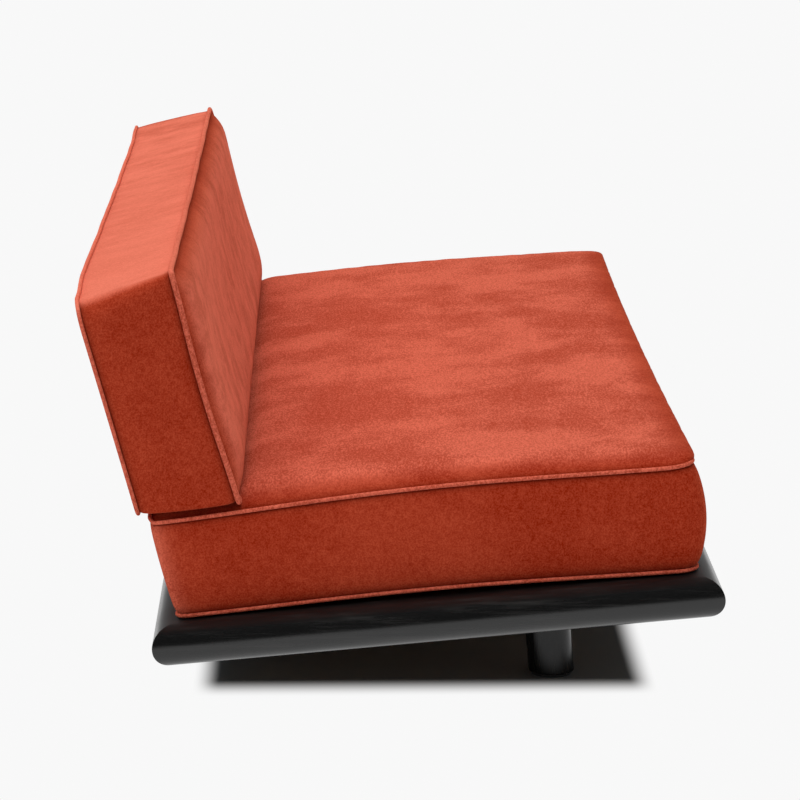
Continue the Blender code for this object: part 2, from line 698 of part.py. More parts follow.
@dataclass
class Cushion:
    """A boxed cushion. X is its length, V the way across its two panels and W the way through it.

    Edges are V positions of the seams as (on the low panel, on the high panel), and panels are W positions
    of the seams as (at the low edge, at the high edge). Bulges push the boxing out between its seams, and
    draws pull the seams in between the corners.
    """

    half_length: float
    low_edge: tuple
    high_edge: tuple
    low_panel: tuple
    high_panel: tuple
    low_bulge: float
    high_bulge: float
    end_bulge: float
    low_draw: float
    high_draw: float
    end_draw: float
    corner_radius: float
    low_swell: Swell
    high_swell: Swell

    def point(self, along, across, through, inset):
        """Place of a point given by three shares from -1 to 1, on the surface set in by an inset."""
        middle = 1 - through**2
        share = (through + 1) / 2
        half_length = self.half_length - inset + self.end_bulge * middle - self.end_draw * (1 - across**2)
        low = self.low_edge[0] + (self.low_edge[1] - self.low_edge[0]) * share
        high = self.high_edge[0] + (self.high_edge[1] - self.high_edge[0]) * share
        low += self.low_draw * (1 - along**2) + inset - self.low_bulge * middle
        high -= self.high_draw * (1 - along**2) + inset - self.high_bulge * middle
        x, v = round_corner(along, across, half_length, (high - low) / 2, self.corner_radius - inset)
        v += (high + low) / 2

        end_distance = (1 - abs(along)) * self.half_length
        low_distance = (1 + across) / 2 * (self.high_edge[1] - self.low_edge[1])
        high_distance = (1 - across) / 2 * (self.high_edge[1] - self.low_edge[1])
        distances = (end_distance, low_distance, high_distance)
        width_share = (across + 1) / 2
        low_panel = self.low_panel[0] + (self.low_panel[1] - self.low_panel[0]) * width_share
        high_panel = self.high_panel[0] + (self.high_panel[1] - self.high_panel[0]) * width_share
        low_panel += inset - self.low_swell.rise(across, *distances)
        high_panel += self.high_swell.rise(across, *distances) - inset
        return Vector((x, v, low_panel + (high_panel - low_panel) * share))


def round_corner(along, across, half_length, half_width, radius):
    """Moves a point of a rectangle, given by shares from -1 to 1, so that the corners become round."""
    x = along * half_length
    v = across * half_width
    over_x = max(abs(x) - (half_length - radius), 0.0)
    over_v = max(abs(v) - (half_width - radius), 0.0)
    if over_x > 0.0 and over_v > 0.0:
        shrink = max(over_x, over_v) / math.hypot(over_x, over_v)
        x = math.copysign(half_length - radius + over_x * shrink, x)
        v = math.copysign(half_width - radius + over_v * shrink, v)
    return x, v


def shares(steps, half):
    """Shares from -1 to 1 at the given distances in from both ends, with one in the middle."""
    lower = [distance / half - 1 for distance in steps]
    return lower + [0.0] + [-share for share in reversed(lower)]


def seat_axes(point):
    """Cushion X, V and W on the deck frame: across is depth and through is height."""
    return point


def back_axes(point):
    """Cushion X, V and W on the bracket frame: across is height and through is depth, to the front."""
    return Vector((point.x, -point.z, point.y))


def cushion_mesh(name, cushion, cuts, axes, inset):
    """A cube divided into a grid, with each point moved to the cushion's surface.

    The grid is split into triangles first, so surfaces at different insets stay parallel.
    """
    form = bmesh.new()
    bmesh.ops.create_cube(form, size=2.0)
    for axis, stops in enumerate(cuts):
        normal = Vector((0.0, 0.0, 0.0))
        normal[axis] = 1.0
        for stop in stops:
            geometry = form.verts[:] + form.edges[:] + form.faces[:]
            bmesh.ops.bisect_plane(form, geom=geometry, plane_co=normal * stop, plane_no=normal)
    bmesh.ops.triangulate(form, faces=form.faces, quad_method="FIXED")
    for vert in form.verts:
        vert.co = axes(cushion.point(*vert.co, inset))
    bmesh.ops.recalc_face_normals(form, faces=form.faces)
    return to_mesh(name, form)


def seam_loop(cuts):
    """Shares round a panel's seam, one corner after another."""
    lengthwise = [-1.0] + cuts[0]
    crosswise = [-1.0] + cuts[1]
    loop = [(along, -1.0) for along in lengthwise]
    loop += [(1.0, across) for across in crosswise]
    loop += [(-along, 1.0) for along in lengthwise]
    loop += [(-1.0, -across) for across in crosswise]
    return loop


def add_piping(name, cushion, cuts, axes, through, parent):
    """A round cord along one panel's seam, set out diagonally from the seam."""
    seam = [cushion.point(along, across, through, 0.0) for along, across in seam_loop(cuts)]
    curve = bpy.data.curves.new(name, "CURVE")
    curve.dimensions = "3D"
    curve.bevel_depth = PIPING_RADIUS
    curve.bevel_resolution = 1
    curve.materials.append(PIPING)
    spline = curve.splines.new("POLY")
    spline.points.add(len(seam) - 1)
    spline.use_cyclic_u = True
    for number, corner in enumerate(seam):
        onward = seam[(number + 1) % len(seam)] - seam[number - 1]
        outward = Vector((onward.y, -onward.x, 0.0)).normalized()
        middle = corner + (outward + Vector((0.0, 0.0, through))) * PIPING_STEP
        spline.points[number].co = (*axes(middle), 1.0)
    place(bpy.data.objects.new(name, curve), SOFA, parent)


def add_upholstery(label, cushion, cuts, axes, parent, zip_low, zip_high):
    """Cover, zip, foam and the two cords of a cushion. The zip's slit is a box between two corners."""
    inner_name = f"{label}_cover_inside"
    inside = add_cutter(inner_name, cushion_mesh(inner_name, cushion, cuts, axes, COVER_THICKNESS), parent)
    slit_name = f"{label}_zip_slit"
    slit = add_cutter(slit_name, box_mesh(slit_name, zip_low, zip_high), parent)
    margin = Vector((GAP, GAP, GAP))
    fit_name = f"{label}_zip_fit"
    fit_mesh = box_mesh(fit_name, Vector(zip_low) + margin, Vector(zip_high) - margin)
    fit = add_cutter(fit_name, fit_mesh, parent)

    cover_name = f"{label}_cover"
    cover = add_part(cover_name, cushion_mesh(cover_name, cushion, cuts, axes, 0.0), VELVET, parent)
    cut(cover, inside)
    cut(cover, slit)
    zip_name = f"{label}_zip"
    strip = add_part(zip_name, cushion_mesh(zip_name, cushion, cuts, axes, 0.0), PIPING, parent)
    cut(strip, inside)
    cut(strip, fit, "INTERSECT")
    foam_name = f"{label}_foam"
    foam = add_part(foam_name, cushion_mesh(foam_name, cushion, cuts, axes, FOAM_INSET), FOAM, parent)
    return cover, foam


def add_seat():
    """The seat cushion, thicker at the front, with its zip in the rear boxing."""
    front_thickness = SEAT_LOWER_SEAM + SEAT_THICKNESS_FRONT
    cushion = Cushion(
        half_length=CUSHION_HALF_LENGTH,
        low_edge=(SEAT_FRONT_SEAM, SEAT_FRONT_SEAM - SEAT_FRONT_OVERHANG),
        high_edge=(seat_rear_seam(SEAT_LOWER_SEAM), seat_rear_seam(SEAT_UPPER_REAR_SEAM)),
        low_panel=(SEAT_LOWER_SEAM, SEAT_LOWER_SEAM),
        high_panel=(front_thickness, SEAT_UPPER_REAR_SEAM),
        low_bulge=SEAT_FRONT_BULGE,
        high_bulge=SEAT_REAR_BULGE,
        end_bulge=SEAT_END_BULGE,
        low_draw=SEAT_FRONT_DRAW,
        high_draw=SEAT_REAR_DRAW,
        end_draw=SEAT_END_DRAW,
        corner_radius=SEAT_CORNER_RADIUS,
        low_swell=Swell(PIPING_REACH, PIPING_REACH, *(SEAT_UNDERSIDE_RUN,) * 3),
        high_swell=SEAT_TOP_SWELL,
    )
    half_depth = (cushion.high_edge[1] - cushion.low_edge[1]) / 2
    cuts = (shares(SEAT_LENGTH_STEPS, CUSHION_HALF_LENGTH), shares(SEAT_DEPTH_STEPS, half_depth), BOXING_STEPS)
    zip_height = SEAT_LOWER_SEAM + SEAT_THICKNESS_REAR / 2
    rear = seat_rear_seam(zip_height)
    zip_low = (-ZIP_LENGTH / 2, rear - SEAT_CORNER_RADIUS, zip_height - ZIP_WIDTH / 2)
    zip_high = (ZIP_LENGTH / 2, rear + SEAT_CORNER_RADIUS, zip_height + ZIP_WIDTH / 2)
    add_upholstery("seat", cushion, cuts, seat_axes, DECK, zip_low, zip_high)
    add_piping("seat_piping_top", cushion, cuts, seat_axes, 1, DECK)
    add_piping("seat_piping_bottom", cushion, cuts, seat_axes, -1, DECK)


def add_back():
    """The back cushion: a grooved panel and its board in a foam block, which slides down over the brackets."""
    rear_seam = -BACK_REAR_SEAM
    front_seam = rear_seam + BACK_THICKNESS
    cushion = Cushion(
        half_length=CUSHION_HALF_LENGTH,
        low_edge=(BACK_BOTTOM, BACK_BOTTOM - BACK_BOTTOM_DROP),
        high_edge=(BACK_TOP, BACK_TOP),
        low_panel=(rear_seam, rear_seam),
        high_panel=(front_seam, front_seam),
        low_bulge=BACK_BOTTOM_BULGE,
        high_bulge=BACK_TOP_BULGE,
        end_bulge=BACK_END_BULGE,
        low_draw=BACK_DRAW,
        high_draw=BACK_DRAW,
        end_draw=BACK_DRAW,
        corner_radius=BACK_CORNER_RADIUS,
        low_swell=Swell(BACK_REAR_CROWN, BACK_REAR_CROWN, BACK_END_RUN, BACK_EDGE_RUN, BACK_EDGE_RUN),
        high_swell=Swell(BACK_FRONT_CROWN, BACK_FRONT_CROWN, BACK_END_RUN, BACK_EDGE_RUN, BACK_EDGE_RUN),
    )
    half_height = (cushion.high_edge[1] - cushion.low_edge[1]) / 2
    cuts = (shares(BACK_LENGTH_STEPS, CUSHION_HALF_LENGTH), shares(BACK_HEIGHT_STEPS, half_height), BOXING_STEPS)
    zip_y = BACK_REAR_SEAM - BACK_THICKNESS / 2
    below = BACK_BOTTOM - BACK_BOTTOM_DROP - CUT_MARGIN
    zip_low = (-ZIP_LENGTH / 2, zip_y - ZIP_WIDTH / 2, below)
    zip_high = (ZIP_LENGTH / 2, zip_y + ZIP_WIDTH / 2, PANEL_BOTTOM)
    cover, foam = add_upholstery("back", cushion, cuts, back_axes, BACK, zip_low, zip_high)
    add_piping("back_piping_front", cushion, cuts, back_axes, 1, BACK)
    add_piping("back_piping_rear", cushion, cuts, back_axes, -1, BACK)

    low = (-PANEL_HALF_LENGTH, PANEL_FRONT, PANEL_BOTTOM)
    high = (PANEL_HALF_LENGTH, PANEL_REAR, PANEL_TOP)
    panel = add_part("back_panel", box_mesh("back_panel", low, high), BEECH, BACK)
    board_low = (-PANEL_HALF_LENGTH, BOARD_FRONT, PANEL_BOTTOM)
    board_high = (PANEL_HALF_LENGTH, BOARD_FRONT + BOARD_THICKNESS, PANEL_TOP)
    add_part("back_board", box_mesh("back_board", board_low, board_high), BEECH, BACK)

    room = Vector((GAP, GAP, GAP))
    pocket_mesh = box_mesh("back_panel_pocket", Vector(low) - room, Vector(board_high) + room)
    cut(foam, add_cutter("back_panel_pocket", pocket_mesh, BACK))
    for place_name, x in bracket_places():
        add_bracket_slots(cover, foam, panel, place_name, x)


def add_bracket_slots(cover, foam, panel, place_name, x):
    """Cuts the way of one bracket through the cover's bottom, the foam below the panel and the panel's groove."""
    half_width = BRACKET_WIDTH / 2
    slot_width = half_width + BRACKET_SLOT_CLEARANCE
    slot_depth = BRACKET_HALF + BRACKET_SLOT_CLEARANCE
    under = BACK_BOTTOM - BACK_BOTTOM_DROP - CUT_MARGIN
    name = f"bracket_slot_{place_name}"
    mesh = box_mesh(name, (-slot_width, -slot_depth, under), (slot_width, slot_depth, PANEL_BOTTOM + CUT_MARGIN))
    slot = add_cutter(name, mesh, BACK, (x, 0.0, 0.0))
    cut(cover, slot)
    cut(foam, slot)
    name = f"panel_groove_{place_name}"
    low = (-half_width - GAP, -BRACKET_HALF - GAP, PANEL_BOTTOM - CUT_MARGIN)
    high = (half_width + GAP, PANEL_REAR + CUT_MARGIN, BRACKET_TOP + GAP)
    cut(panel, add_cutter(name, box_mesh(name, low, high), BACK, (x, 0.0, 0.0)))


def main():
    """Builds the base, then the two cushions."""
    rails = add_rails()
    add_corners(rails)
    add_slats()
    add_legs(rails)
    for place_name, x in bracket_places():
        add_bracket(rails["rear_rail"], place_name, x)
    add_seat()
    add_back()


main()
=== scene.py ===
"""Dresses the three-seater sofa: piped rust velvet cushions on a raked base of black-stained timber."""

import json
import math
from dataclasses import dataclass
from typing import Callable

import bmesh
import bpy
import numpy as np
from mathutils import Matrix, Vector


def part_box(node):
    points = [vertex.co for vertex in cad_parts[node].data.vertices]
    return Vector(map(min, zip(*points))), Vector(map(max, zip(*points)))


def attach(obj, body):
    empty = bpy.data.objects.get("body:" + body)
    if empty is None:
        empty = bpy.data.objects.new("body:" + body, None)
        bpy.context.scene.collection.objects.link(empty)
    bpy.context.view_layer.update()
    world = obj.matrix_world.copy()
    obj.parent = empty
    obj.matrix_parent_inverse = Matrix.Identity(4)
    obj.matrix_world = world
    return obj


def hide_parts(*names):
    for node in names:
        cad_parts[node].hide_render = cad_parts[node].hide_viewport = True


bl_info = {
    "name": "Three-Seater Sofa",
    "version": (1, 0, 0),
    "blender": (4, 5, 0),
    "location": "3D View > Sidebar > Sofa",
    "description": "Dresses the frame of a sofa with timber, piped velvet cushions and metalwork",
    "category": "Add Mesh",
}

MILLIMETRE = 0.001
ALONG = Vector((1.0, 0.0, 0.0))

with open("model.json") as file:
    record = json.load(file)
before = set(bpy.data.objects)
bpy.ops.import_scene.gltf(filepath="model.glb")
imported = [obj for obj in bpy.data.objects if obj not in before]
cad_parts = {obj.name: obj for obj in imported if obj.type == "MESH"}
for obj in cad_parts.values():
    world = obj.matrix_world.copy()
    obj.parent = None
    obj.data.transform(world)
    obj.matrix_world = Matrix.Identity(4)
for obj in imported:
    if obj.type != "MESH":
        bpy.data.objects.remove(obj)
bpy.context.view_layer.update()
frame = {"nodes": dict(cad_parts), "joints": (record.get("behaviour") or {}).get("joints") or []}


# Frames that the pieces are laid out on

def joint_axis(name):
    """Direction of a joint of the frame, as a unit vector."""
    axis = next(joint["axis"] for joint in frame["joints"] if joint["name"] == name)
    return Vector(axis).normalized()


def mesh_points(mesh):
    """Every point of a mesh, one row each."""
    points = np.empty(len(mesh.vertices) * 3)
    mesh.vertices.foreach_get("co", points)
    return points.reshape(-1, 3)


def store(mesh, name, values):
    """Stores a number for each point of a mesh, which a finish can read."""
    mesh.attributes.new(name, "FLOAT", "POINT").data.foreach_set("value", values)


class Setting:
    """A tipped frame: X runs along the sofa, Y to the rear and Z away from the floor."""

    def __init__(self, rearward):
        self.axes = np.column_stack((ALONG, rearward, ALONG.cross(rearward)))
        self.origin = np.zeros(3)

    def box(self, node):
        """Lowest and highest corner of a node of the frame, measured on this frame."""
        local = (mesh_points(frame["nodes"][node].data) - self.origin) @ self.axes
        return local.min(axis=0), local.max(axis=0)

    def to_world(self, points):
        """Places points of this frame in the sofa's own frame."""
        return points @ self.axes.T + self.origin


def deck_setting():
    """The top of the slatted deck, with its origin in the middle."""
    setting = Setting(-joint_axis("seat_draw"))
    low, high = setting.box("seat_slat_01")
    setting.origin = setting.axes @ np.array((0.0, (low[1] + high[1]) / 2, high[2]))
    return setting


def back_setting():
    """The back's lean, with its origin on the lower edge of its rear piping."""
    setting = Setting(joint_axis("back_lift").cross(ALONG))
    low, high = setting.box("back_piping_rear")
    setting.origin = setting.axes @ np.array((0.0, high[1], low[2]))
    return setting


DECK = deck_setting()
BACK = back_setting()


# Sizes, colours, camera and light that a user would change

def length_property(label, words, millimetres):
    """A length in metres for the sidebar, given in millimetres."""
    return bpy.props.FloatProperty(
        name=label, description=words, default=millimetres * MILLIMETRE, min=0.0, precision=4, unit="LENGTH"
    )


def colour_property(label, words, colour):
    """A colour for the sidebar."""
    return bpy.props.FloatVectorProperty(
        name=label, description=words, default=colour, size=3, min=0.0, max=1.0, subtype="COLOR"
    )


def number_property(label, words, value):
    """A plain number for the sidebar."""
    return bpy.props.FloatProperty(name=label, description=words, default=value, min=0.0)


class SofaTimberSettings(bpy.types.PropertyGroup):
    """Sizes of the timber base."""

    rail_width: length_property("Rail Width", "Width of a rail of the base, seen from above", 100)
    rail_lower_radius: length_property("Lower Radius", "Radius of the rail's edge below its nose", 32)
    rail_edge: length_property("Sharp Edge", "Small rounding on the rail's inner edges", 1.5)
    rail_sink: length_property("Top Sink", "How far the rails lie below the tops of the slats", 0.15)
    mitre_gap: length_property("Mitre Gap", "Width of the fine line at a mitred corner", 0.35)
    leg_edge: length_property("Leg Edge", "Rounding at the foot of a leg", 2.5)


class SofaCushionSettings(bpy.types.PropertyGroup):
    """Sizes of the two cushions."""

    piping_radius: length_property("Piping Radius", "Radius of the piping", 3.2)
    piping_reach: length_property("Piping Reach", "How far the frame's piping stands out from the seam", 7.1)
    piping_step: length_property("Piping Step", "Offset of the piping's middle from the seam, each way", 2.2)
    seam_roll: length_property("Seam Roll", "How far the fabric rises beside the groove of a seam", 4)
    seat_corner: length_property("Seat Corner", "Radius of the seat's front corners, seen from above", 45)
    seat_rear_ends: length_property("Rear Ends", "Swell of the seat's rear beside the brackets", 5.5)
    seat_front_thickness: length_property("Front Thickness", "Height of the seat's front boxing", 160.5)
    seat_rear_thickness: length_property("Rear Thickness", "Height of the seat's rear boxing", 146)
    seat_front_crown: length_property("Front Crown", "Rise of the seat's top behind its front seam", 23.5)
    seat_rear_crown: length_property("Rear Crown", "Rise of the seat's top in front of the back", 40)
    seat_lip: length_property("Front Lip", "How far the seat's top rolls out over its front seam", 12.5)
    seat_bow: length_property("Seat Bow", "Rise of the end seams between their corners", 9)
    seat_front_bulge: length_property("Front Bulge", "How far the seat's front boxing swells", 15)
    seat_end_bulge: length_property("End Bulge", "How far the seat's end boxing swells", 10)
    back_front_corner: length_property("Front Corner", "Radius of the front panel's top corners", 13)
    back_rear_corner: length_property("Rear Corner", "Radius of the rear panel's top corners", 48)
    back_front_crown: length_property("Back Crown", "Rise of the back's front panel", 21)
    back_rear_crown: length_property("Rear Panel Crown", "Rise of the back's rear panel", 10)


class SofaColourSettings(bpy.types.PropertyGroup):
    """Colours of the finishes."""

    velvet: colour_property("Velvet", "Pile seen from straight on", (0.262, 0.0135, 0.002))
    velvet_light: colour_property("Brushed Velvet", "Pile brushed towards the light", (0.54, 0.078, 0.034))
    # Painted sheen: a paler copy of the pile, blended in where light falls on the velvet at a low angle
    velvet_painted_sheen: colour_property("Raised Velvet", "Pile that stands up", (1.0, 0.27, 0.18))
    velvet_sheen: colour_property("Velvet Sheen", "The pile's tips at a low angle", (1.0, 0.30, 0.17))
    black_stain: colour_property("Black Stain", "Timber between its grain lines", (0.006, 0.006, 0.006))
    black_grain: colour_property("Black Grain", "Grain lines of black timber", (0.022, 0.021, 0.020))
    beech: colour_property("Beech", "Plain timber of the slats", (0.50, 0.34, 0.19))
    beech_grain: colour_property("Beech Grain", "Grain flecks of the plain timber", (0.36, 0.22, 0.11))
    floor: colour_property("Floor", "Pale floor", (0.94, 0.94, 0.94))


class SofaStageSettings(bpy.types.PropertyGroup):
    """Camera and light."""

    lens: number_property("Lens", "Focal length in millimetres", 171.8)
    camera_place: bpy.props.FloatVectorProperty(
        name="Camera Place",
        description="Where the camera stands",
        default=(-6.7764, 0.11468, 1.6168),
        unit="LENGTH",
    )
    camera_turn: bpy.props.FloatVectorProperty(
        name="Camera Turn",
        description="Turn of the camera",
        default=(math.radians(78.832), 0.0, math.radians(-91.152)),
        subtype="EULER",
        unit="ROTATION",
    )
    sky_strength: number_property("Sky Strength", "Light that comes from all round", 0.23)
    lamp_strength: number_property("Lamp Strength", "Light of the wide lamp overhead", 2.75)


# Shader maths as expressions

class Number:
    """A number that changes over a surface. Arithmetic on it adds Math nodes to its finish."""

    def __init__(self, finish, socket):
        self.finish = finish
        self.socket = socket

    def join(self, operation, left, right):
        """Adds one Math node and gives its result."""
        math_node = self.finish.node("ShaderNodeMath", {"operation": operation}, {0: left, 1: right})
        return Number(self.finish, math_node.outputs[0])

    def __add__(self, other):
        return self.join("ADD", self, other)

    def __radd__(self, other):
        return self.join("ADD", other, self)

    def __sub__(self, other):
        return self.join("SUBTRACT", self, other)

    def __rsub__(self, other):
        return self.join("SUBTRACT", other, self)

    def __mul__(self, other):
        return self.join("MULTIPLY", self, other)

    def __rmul__(self, other):
        return self.join("MULTIPLY", other, self)

    def most(self, other):
        """The larger of this number and another."""
        return self.join("MAXIMUM", self, other)

    def size(self):
        """The number without its sign."""
        return self.join("ABSOLUTE", self, 0.0)


class Finish:
    """A material, or the sky, that is being written node by node."""

    def __init__(self, name, sky=False):
        self.material = bpy.data.worlds.new(name) if sky else bpy.data.materials.new(name)
        self.material.use_nodes = True
        self.tree = self.material.node_tree
        self.tree.nodes.clear()
        self.output = self.node("ShaderNodeOutputWorld" if sky else "ShaderNodeOutputMaterial")

    def node(self, kind, settings=None, inputs=None):
        """Adds a node of a kind. Its settings come first, then the values or links of its sockets."""
        added = self.tree.nodes.new(kind)
        for name, value in (settings or {}).items():
            setattr(added, name, value)
        for key, value in (inputs or {}).items():
            source = value.socket if isinstance(value, Number) else value
            if isinstance(source, bpy.types.NodeSocket):
                self.tree.links.new(source, added.inputs[key])
            else:
                added.inputs[key].default_value = source
        return added

    def end(self, shader):
        """Ends the finish in a shader, and gives the material or the sky."""
        self.tree.links.new(shader.outputs[0], self.output.inputs["Surface"])
        return self.material

    def surface(self, colour, roughness, normal=None, **sockets):
        """Ends the finish in a Principled shader."""
        inputs = {"Base Color": colour, "Roughness": roughness}
        if normal is not None:
            inputs["Normal"] = normal
        inputs.update({name.replace("_", " "): value for name, value in sockets.items()})
        return self.end(self.node("ShaderNodeBsdfPrincipled", None, inputs))

    def attribute(self, name):
        """A number that is stored on the piece's points, or 0 where none is stored."""
        return Number(self, self.node("ShaderNodeAttribute", {"attribute_name": name}).outputs["Fac"])

    def rays(self, first, *others):
        """1 for rays of any of the named kinds, and 0 for the rest."""
        path = self.node("ShaderNodeLightPath")
        share = Number(self, path.outputs[first])
        for name in others:
            share = share.most(Number(self, path.outputs[name]))
        return share

    def places(self, scale=(1.0, 1.0, 1.0)):
        """Object coordinates, scaled."""
        coordinates = self.node("ShaderNodeTexCoord").outputs["Object"]
        mapping = self.node("ShaderNodeMapping", None, {"Vector": coordinates, "Scale": scale})
        return mapping.outputs["Vector"]

    def noise(self, places, scale, detail=2.0, roughness=0.5):
        """Cloudy noise from 0 to 1 at a number of patches in a metre."""
        inputs = {"Vector": places, "Scale": scale, "Detail": detail, "Roughness": roughness}
        return Number(self, self.node("ShaderNodeTexNoise", None, inputs).outputs["Fac"])

    def contrast(self, number, low, high):
        """Stretches a number so that low becomes 0 and high becomes 1, held between them."""
        settings = {"interpolation_type": "SMOOTHSTEP"}
        inputs = {"Value": number, "From Min": low, "From Max": high}
        return Number(self, self.node("ShaderNodeMapRange", settings, inputs).outputs["Result"])

    def blend(self, share, first, second):
        """Mixes two colours by a share from 0 to 1. A plain colour is given as three numbers."""
        ends = [(*value, 1.0) if isinstance(value, tuple) else value for value in (first, second)]
        mix = self.node("ShaderNodeMix", {"data_type": "RGBA"}, {0: share, 6: ends[0], 7: ends[1]})
        return mix.outputs[2]

    def bump(self, height, strength, distance):
        """A bumped normal from a height, with the depth of the bump in metres."""
        inputs = {"Height": height, "Strength": strength, "Distance": distance}
        return self.node("ShaderNodeBump", None, inputs).outputs["Normal"]


# Finishes

def velvet(name, colours, strokes, strands, streak, mottle, painted_sheen_lift):
    """Brushed velvet: broad strokes, faint crush marks and speckled pile, under a sheen of its own colour.

    Strokes and strands are how many of them lie in a metre along X, Y and Z, and mottle is how strong the
    strokes are. A number stored on the piece blends in a paler copy of the pile, a painted sheen for where
    light falls on it at a low angle, and another darkens the colour beside a seam as painted shade. Where
    the painted sheen stands halfway, the lift is added as painted light, darker where it is below 0, and
    strands take the place of the speckle by the share of the streak.
    """
    finish = Finish(name)
    # painted sheen and painted seam shade, stored on the piece's points
    painted_sheen = finish.attribute("painted_sheen")
    painted_seam_shade = finish.attribute("painted_seam_shade")
    halfway = painted_sheen * (1.0 - painted_sheen) * 4.0
    broad = finish.noise(finish.places(strokes), 1.0, 4.0, 0.6)
    patches = finish.noise(finish.places(), 5.0, 3.0, 0.55)
    crush = finish.noise(finish.places(), 110.0, 3.0, 0.6)
    grain = finish.noise(finish.places(), 360.0, 3.0, 0.8)
    strand = finish.noise(finish.places(strands), 1.0, 3.0, 0.75)
    fine = finish.noise(finish.places(), 1300.0, 1.0, 0.6)
    brushed = finish.contrast(broad * 0.6 + patches * 0.4, 0.41, 0.59)
    crushed = finish.contrast(crush, 0.36, 0.64)
    speckle = finish.contrast(grain, 0.38, 0.62)
    streaks = finish.contrast(strand, 0.38, 0.62)
    marks = speckle + (streaks - speckle) * halfway * streak
    share = (brushed - 0.5) * (halfway + 0.42) * mottle + (crushed - 0.5) * 0.16
    worn = halfway * (0.80 - brushed * 0.40) + 0.44
    # painted light: the lift shifts the colour where the painted sheen stands halfway
    share = share + (marks - 0.5) * worn + halfway * painted_sheen_lift + 0.42
    laid = finish.blend(share, tuple(colours.velvet), tuple(colours.velvet_light))
    # painted sheen: a paler copy of the pile, laid on where light falls at a low angle
    painted_sheen_pile = finish.blend(share * 0.5 + 0.42, tuple(colours.velvet_light), tuple(colours.velvet_painted_sheen))
    pile = finish.blend(painted_sheen, laid, painted_sheen_pile)
    # painted shade: the pile darkens beside a seam, less where painted sheen is laid on
    dark = tuple(0.25 * value for value in colours.velvet)
    colour = finish.blend(painted_seam_shade * (0.85 - painted_sheen * 0.70), pile, dark)
    normal = finish.bump(crush * 0.25 + grain * 0.45 + fine * 0.30, 0.55, 0.0014)
    return finish.surface(
        colour,
        0.90,
        normal,
        Specular_IOR_Level=0.0,
        Sheen_Weight=0.30,
        Sheen_Roughness=0.40,
        Sheen_Tint=(*colours.velvet_sheen, 1.0),
    )


def black_timber(name, colours, grain, gloss, satin):
    """Black-stained timber under satin lacquer, with its grain lines in a metre along X, Y and Z.

    The piece's upper attribute says where the lacquer is rubbed dull, as on the rails' top.
    """
    finish = Finish(name)
    lines = finish.noise(finish.places(grain), 1.0, 6.0, 0.66)
    pores = finish.noise(finish.places(tuple(value * 3.5 for value in grain)), 1.0, 2.0, 0.6)
    cloud = finish.noise(finish.places(), 9.0)
    streaks = finish.contrast(lines * 0.7 + pores * 0.3, 0.48, 0.72)
    colour = finish.blend(streaks, tuple(colours.black_stain), tuple(colours.black_grain))
    roughness = streaks * 0.10 + cloud * 0.08 + finish.attribute("upper") * 0.40 + satin
    normal = finish.bump(lines * 0.5 + pores * 0.5, 0.10, 0.0004)
    return finish.surface(colour, roughness, normal, Specular_IOR_Level=gloss)


def plain_timber(name, colours, grain):
    """Sanded beech with short flecks along the grain."""
    finish = Finish(name)
    lines = finish.noise(finish.places(grain), 1.0, 5.0, 0.6)
    flecks = finish.noise(finish.places(tuple(value * 4.0 for value in grain)), 1.0, 2.0, 0.6)
    share = finish.contrast(lines, 0.35, 0.70) * 0.7 + finish.contrast(flecks, 0.55, 0.70) * 0.3
    colour = finish.blend(share, tuple(colours.beech), tuple(colours.beech_grain))
    return finish.surface(colour, 0.52 + flecks * 0.15, finish.bump(flecks, 0.15, 0.0003))


def powder_coat():
    """Black powder coat on steel, with its fine orange-peel surface."""
    finish = Finish("black_powder_coat")
    peel = finish.noise(finish.places(), 900.0)
    cloud = finish.noise(finish.places(), 14.0)
    colour = finish.blend(cloud, (0.020, 0.020, 0.021), (0.034, 0.034, 0.035))
    return finish.surface(colour, 0.42 + peel * 0.12, finish.bump(peel, 0.20, 0.0002))


def zinc_plate():
    """Zinc-plated steel with a faint patchy bloom."""
    finish = Finish("zinc_plate")
    bloom = finish.noise(finish.places(), 160.0, 3.0, 0.6)
    colour = finish.blend(bloom, (0.52, 0.52, 0.53), (0.66, 0.65, 0.62))
    return finish.surface(colour, 0.26 + bloom * 0.20, Metallic=1.0)


def black_nylon():
    """Moulded black nylon, lightly scuffed."""
    finish = Finish("black_nylon")
    scuffs = finish.noise(finish.places(), 420.0, 3.0, 0.65)
    colour = finish.blend(scuffs, (0.018, 0.018, 0.018), (0.045, 0.044, 0.043))
    return finish.surface(colour, 0.45 + scuffs * 0.2, finish.bump(scuffs, 0.12, 0.0002))


def zip_weave(colours):
    """Twill tape of a zip, dyed to match the velvet."""
    finish = Finish("zip_tape_weave")
    settings = {"wave_type": "BANDS", "bands_direction": "DIAGONAL"}
    inputs = {"Vector": finish.places(), "Scale": 240.0, "Distortion": 0.4}
    weave = Number(finish, finish.node("ShaderNodeTexWave", settings, inputs).outputs["Fac"])
    dark = tuple(0.55 * value for value in colours.velvet)
    colour = finish.blend(weave, dark, tuple(colours.velvet))
    return finish.surface(colour, 0.75 + weave * 0.1, finish.bump(weave, 0.25, 0.0003))


# Surfaces on grids

MERGE = 0.00002
SHARP_ANGLE = math.radians(40.0)


def grid_faces(rows, columns, closed_rows=False, closed_columns=False):
    """Corner numbers of the four-sided faces between the points of a grid, numbered row by row."""
    row = np.arange(rows if closed_rows else rows - 1)[:, None]
    column = np.arange(columns if closed_columns else columns - 1)[None, :]
    next_row = (row + 1) % rows
    next_column = (column + 1) % columns
    corners = (
        row * columns + column,
        row * columns + next_column,
        next_row * columns + next_column,
        next_row * columns + column,
    )
    return np.stack(corners, axis=-1).reshape(-1, 4)


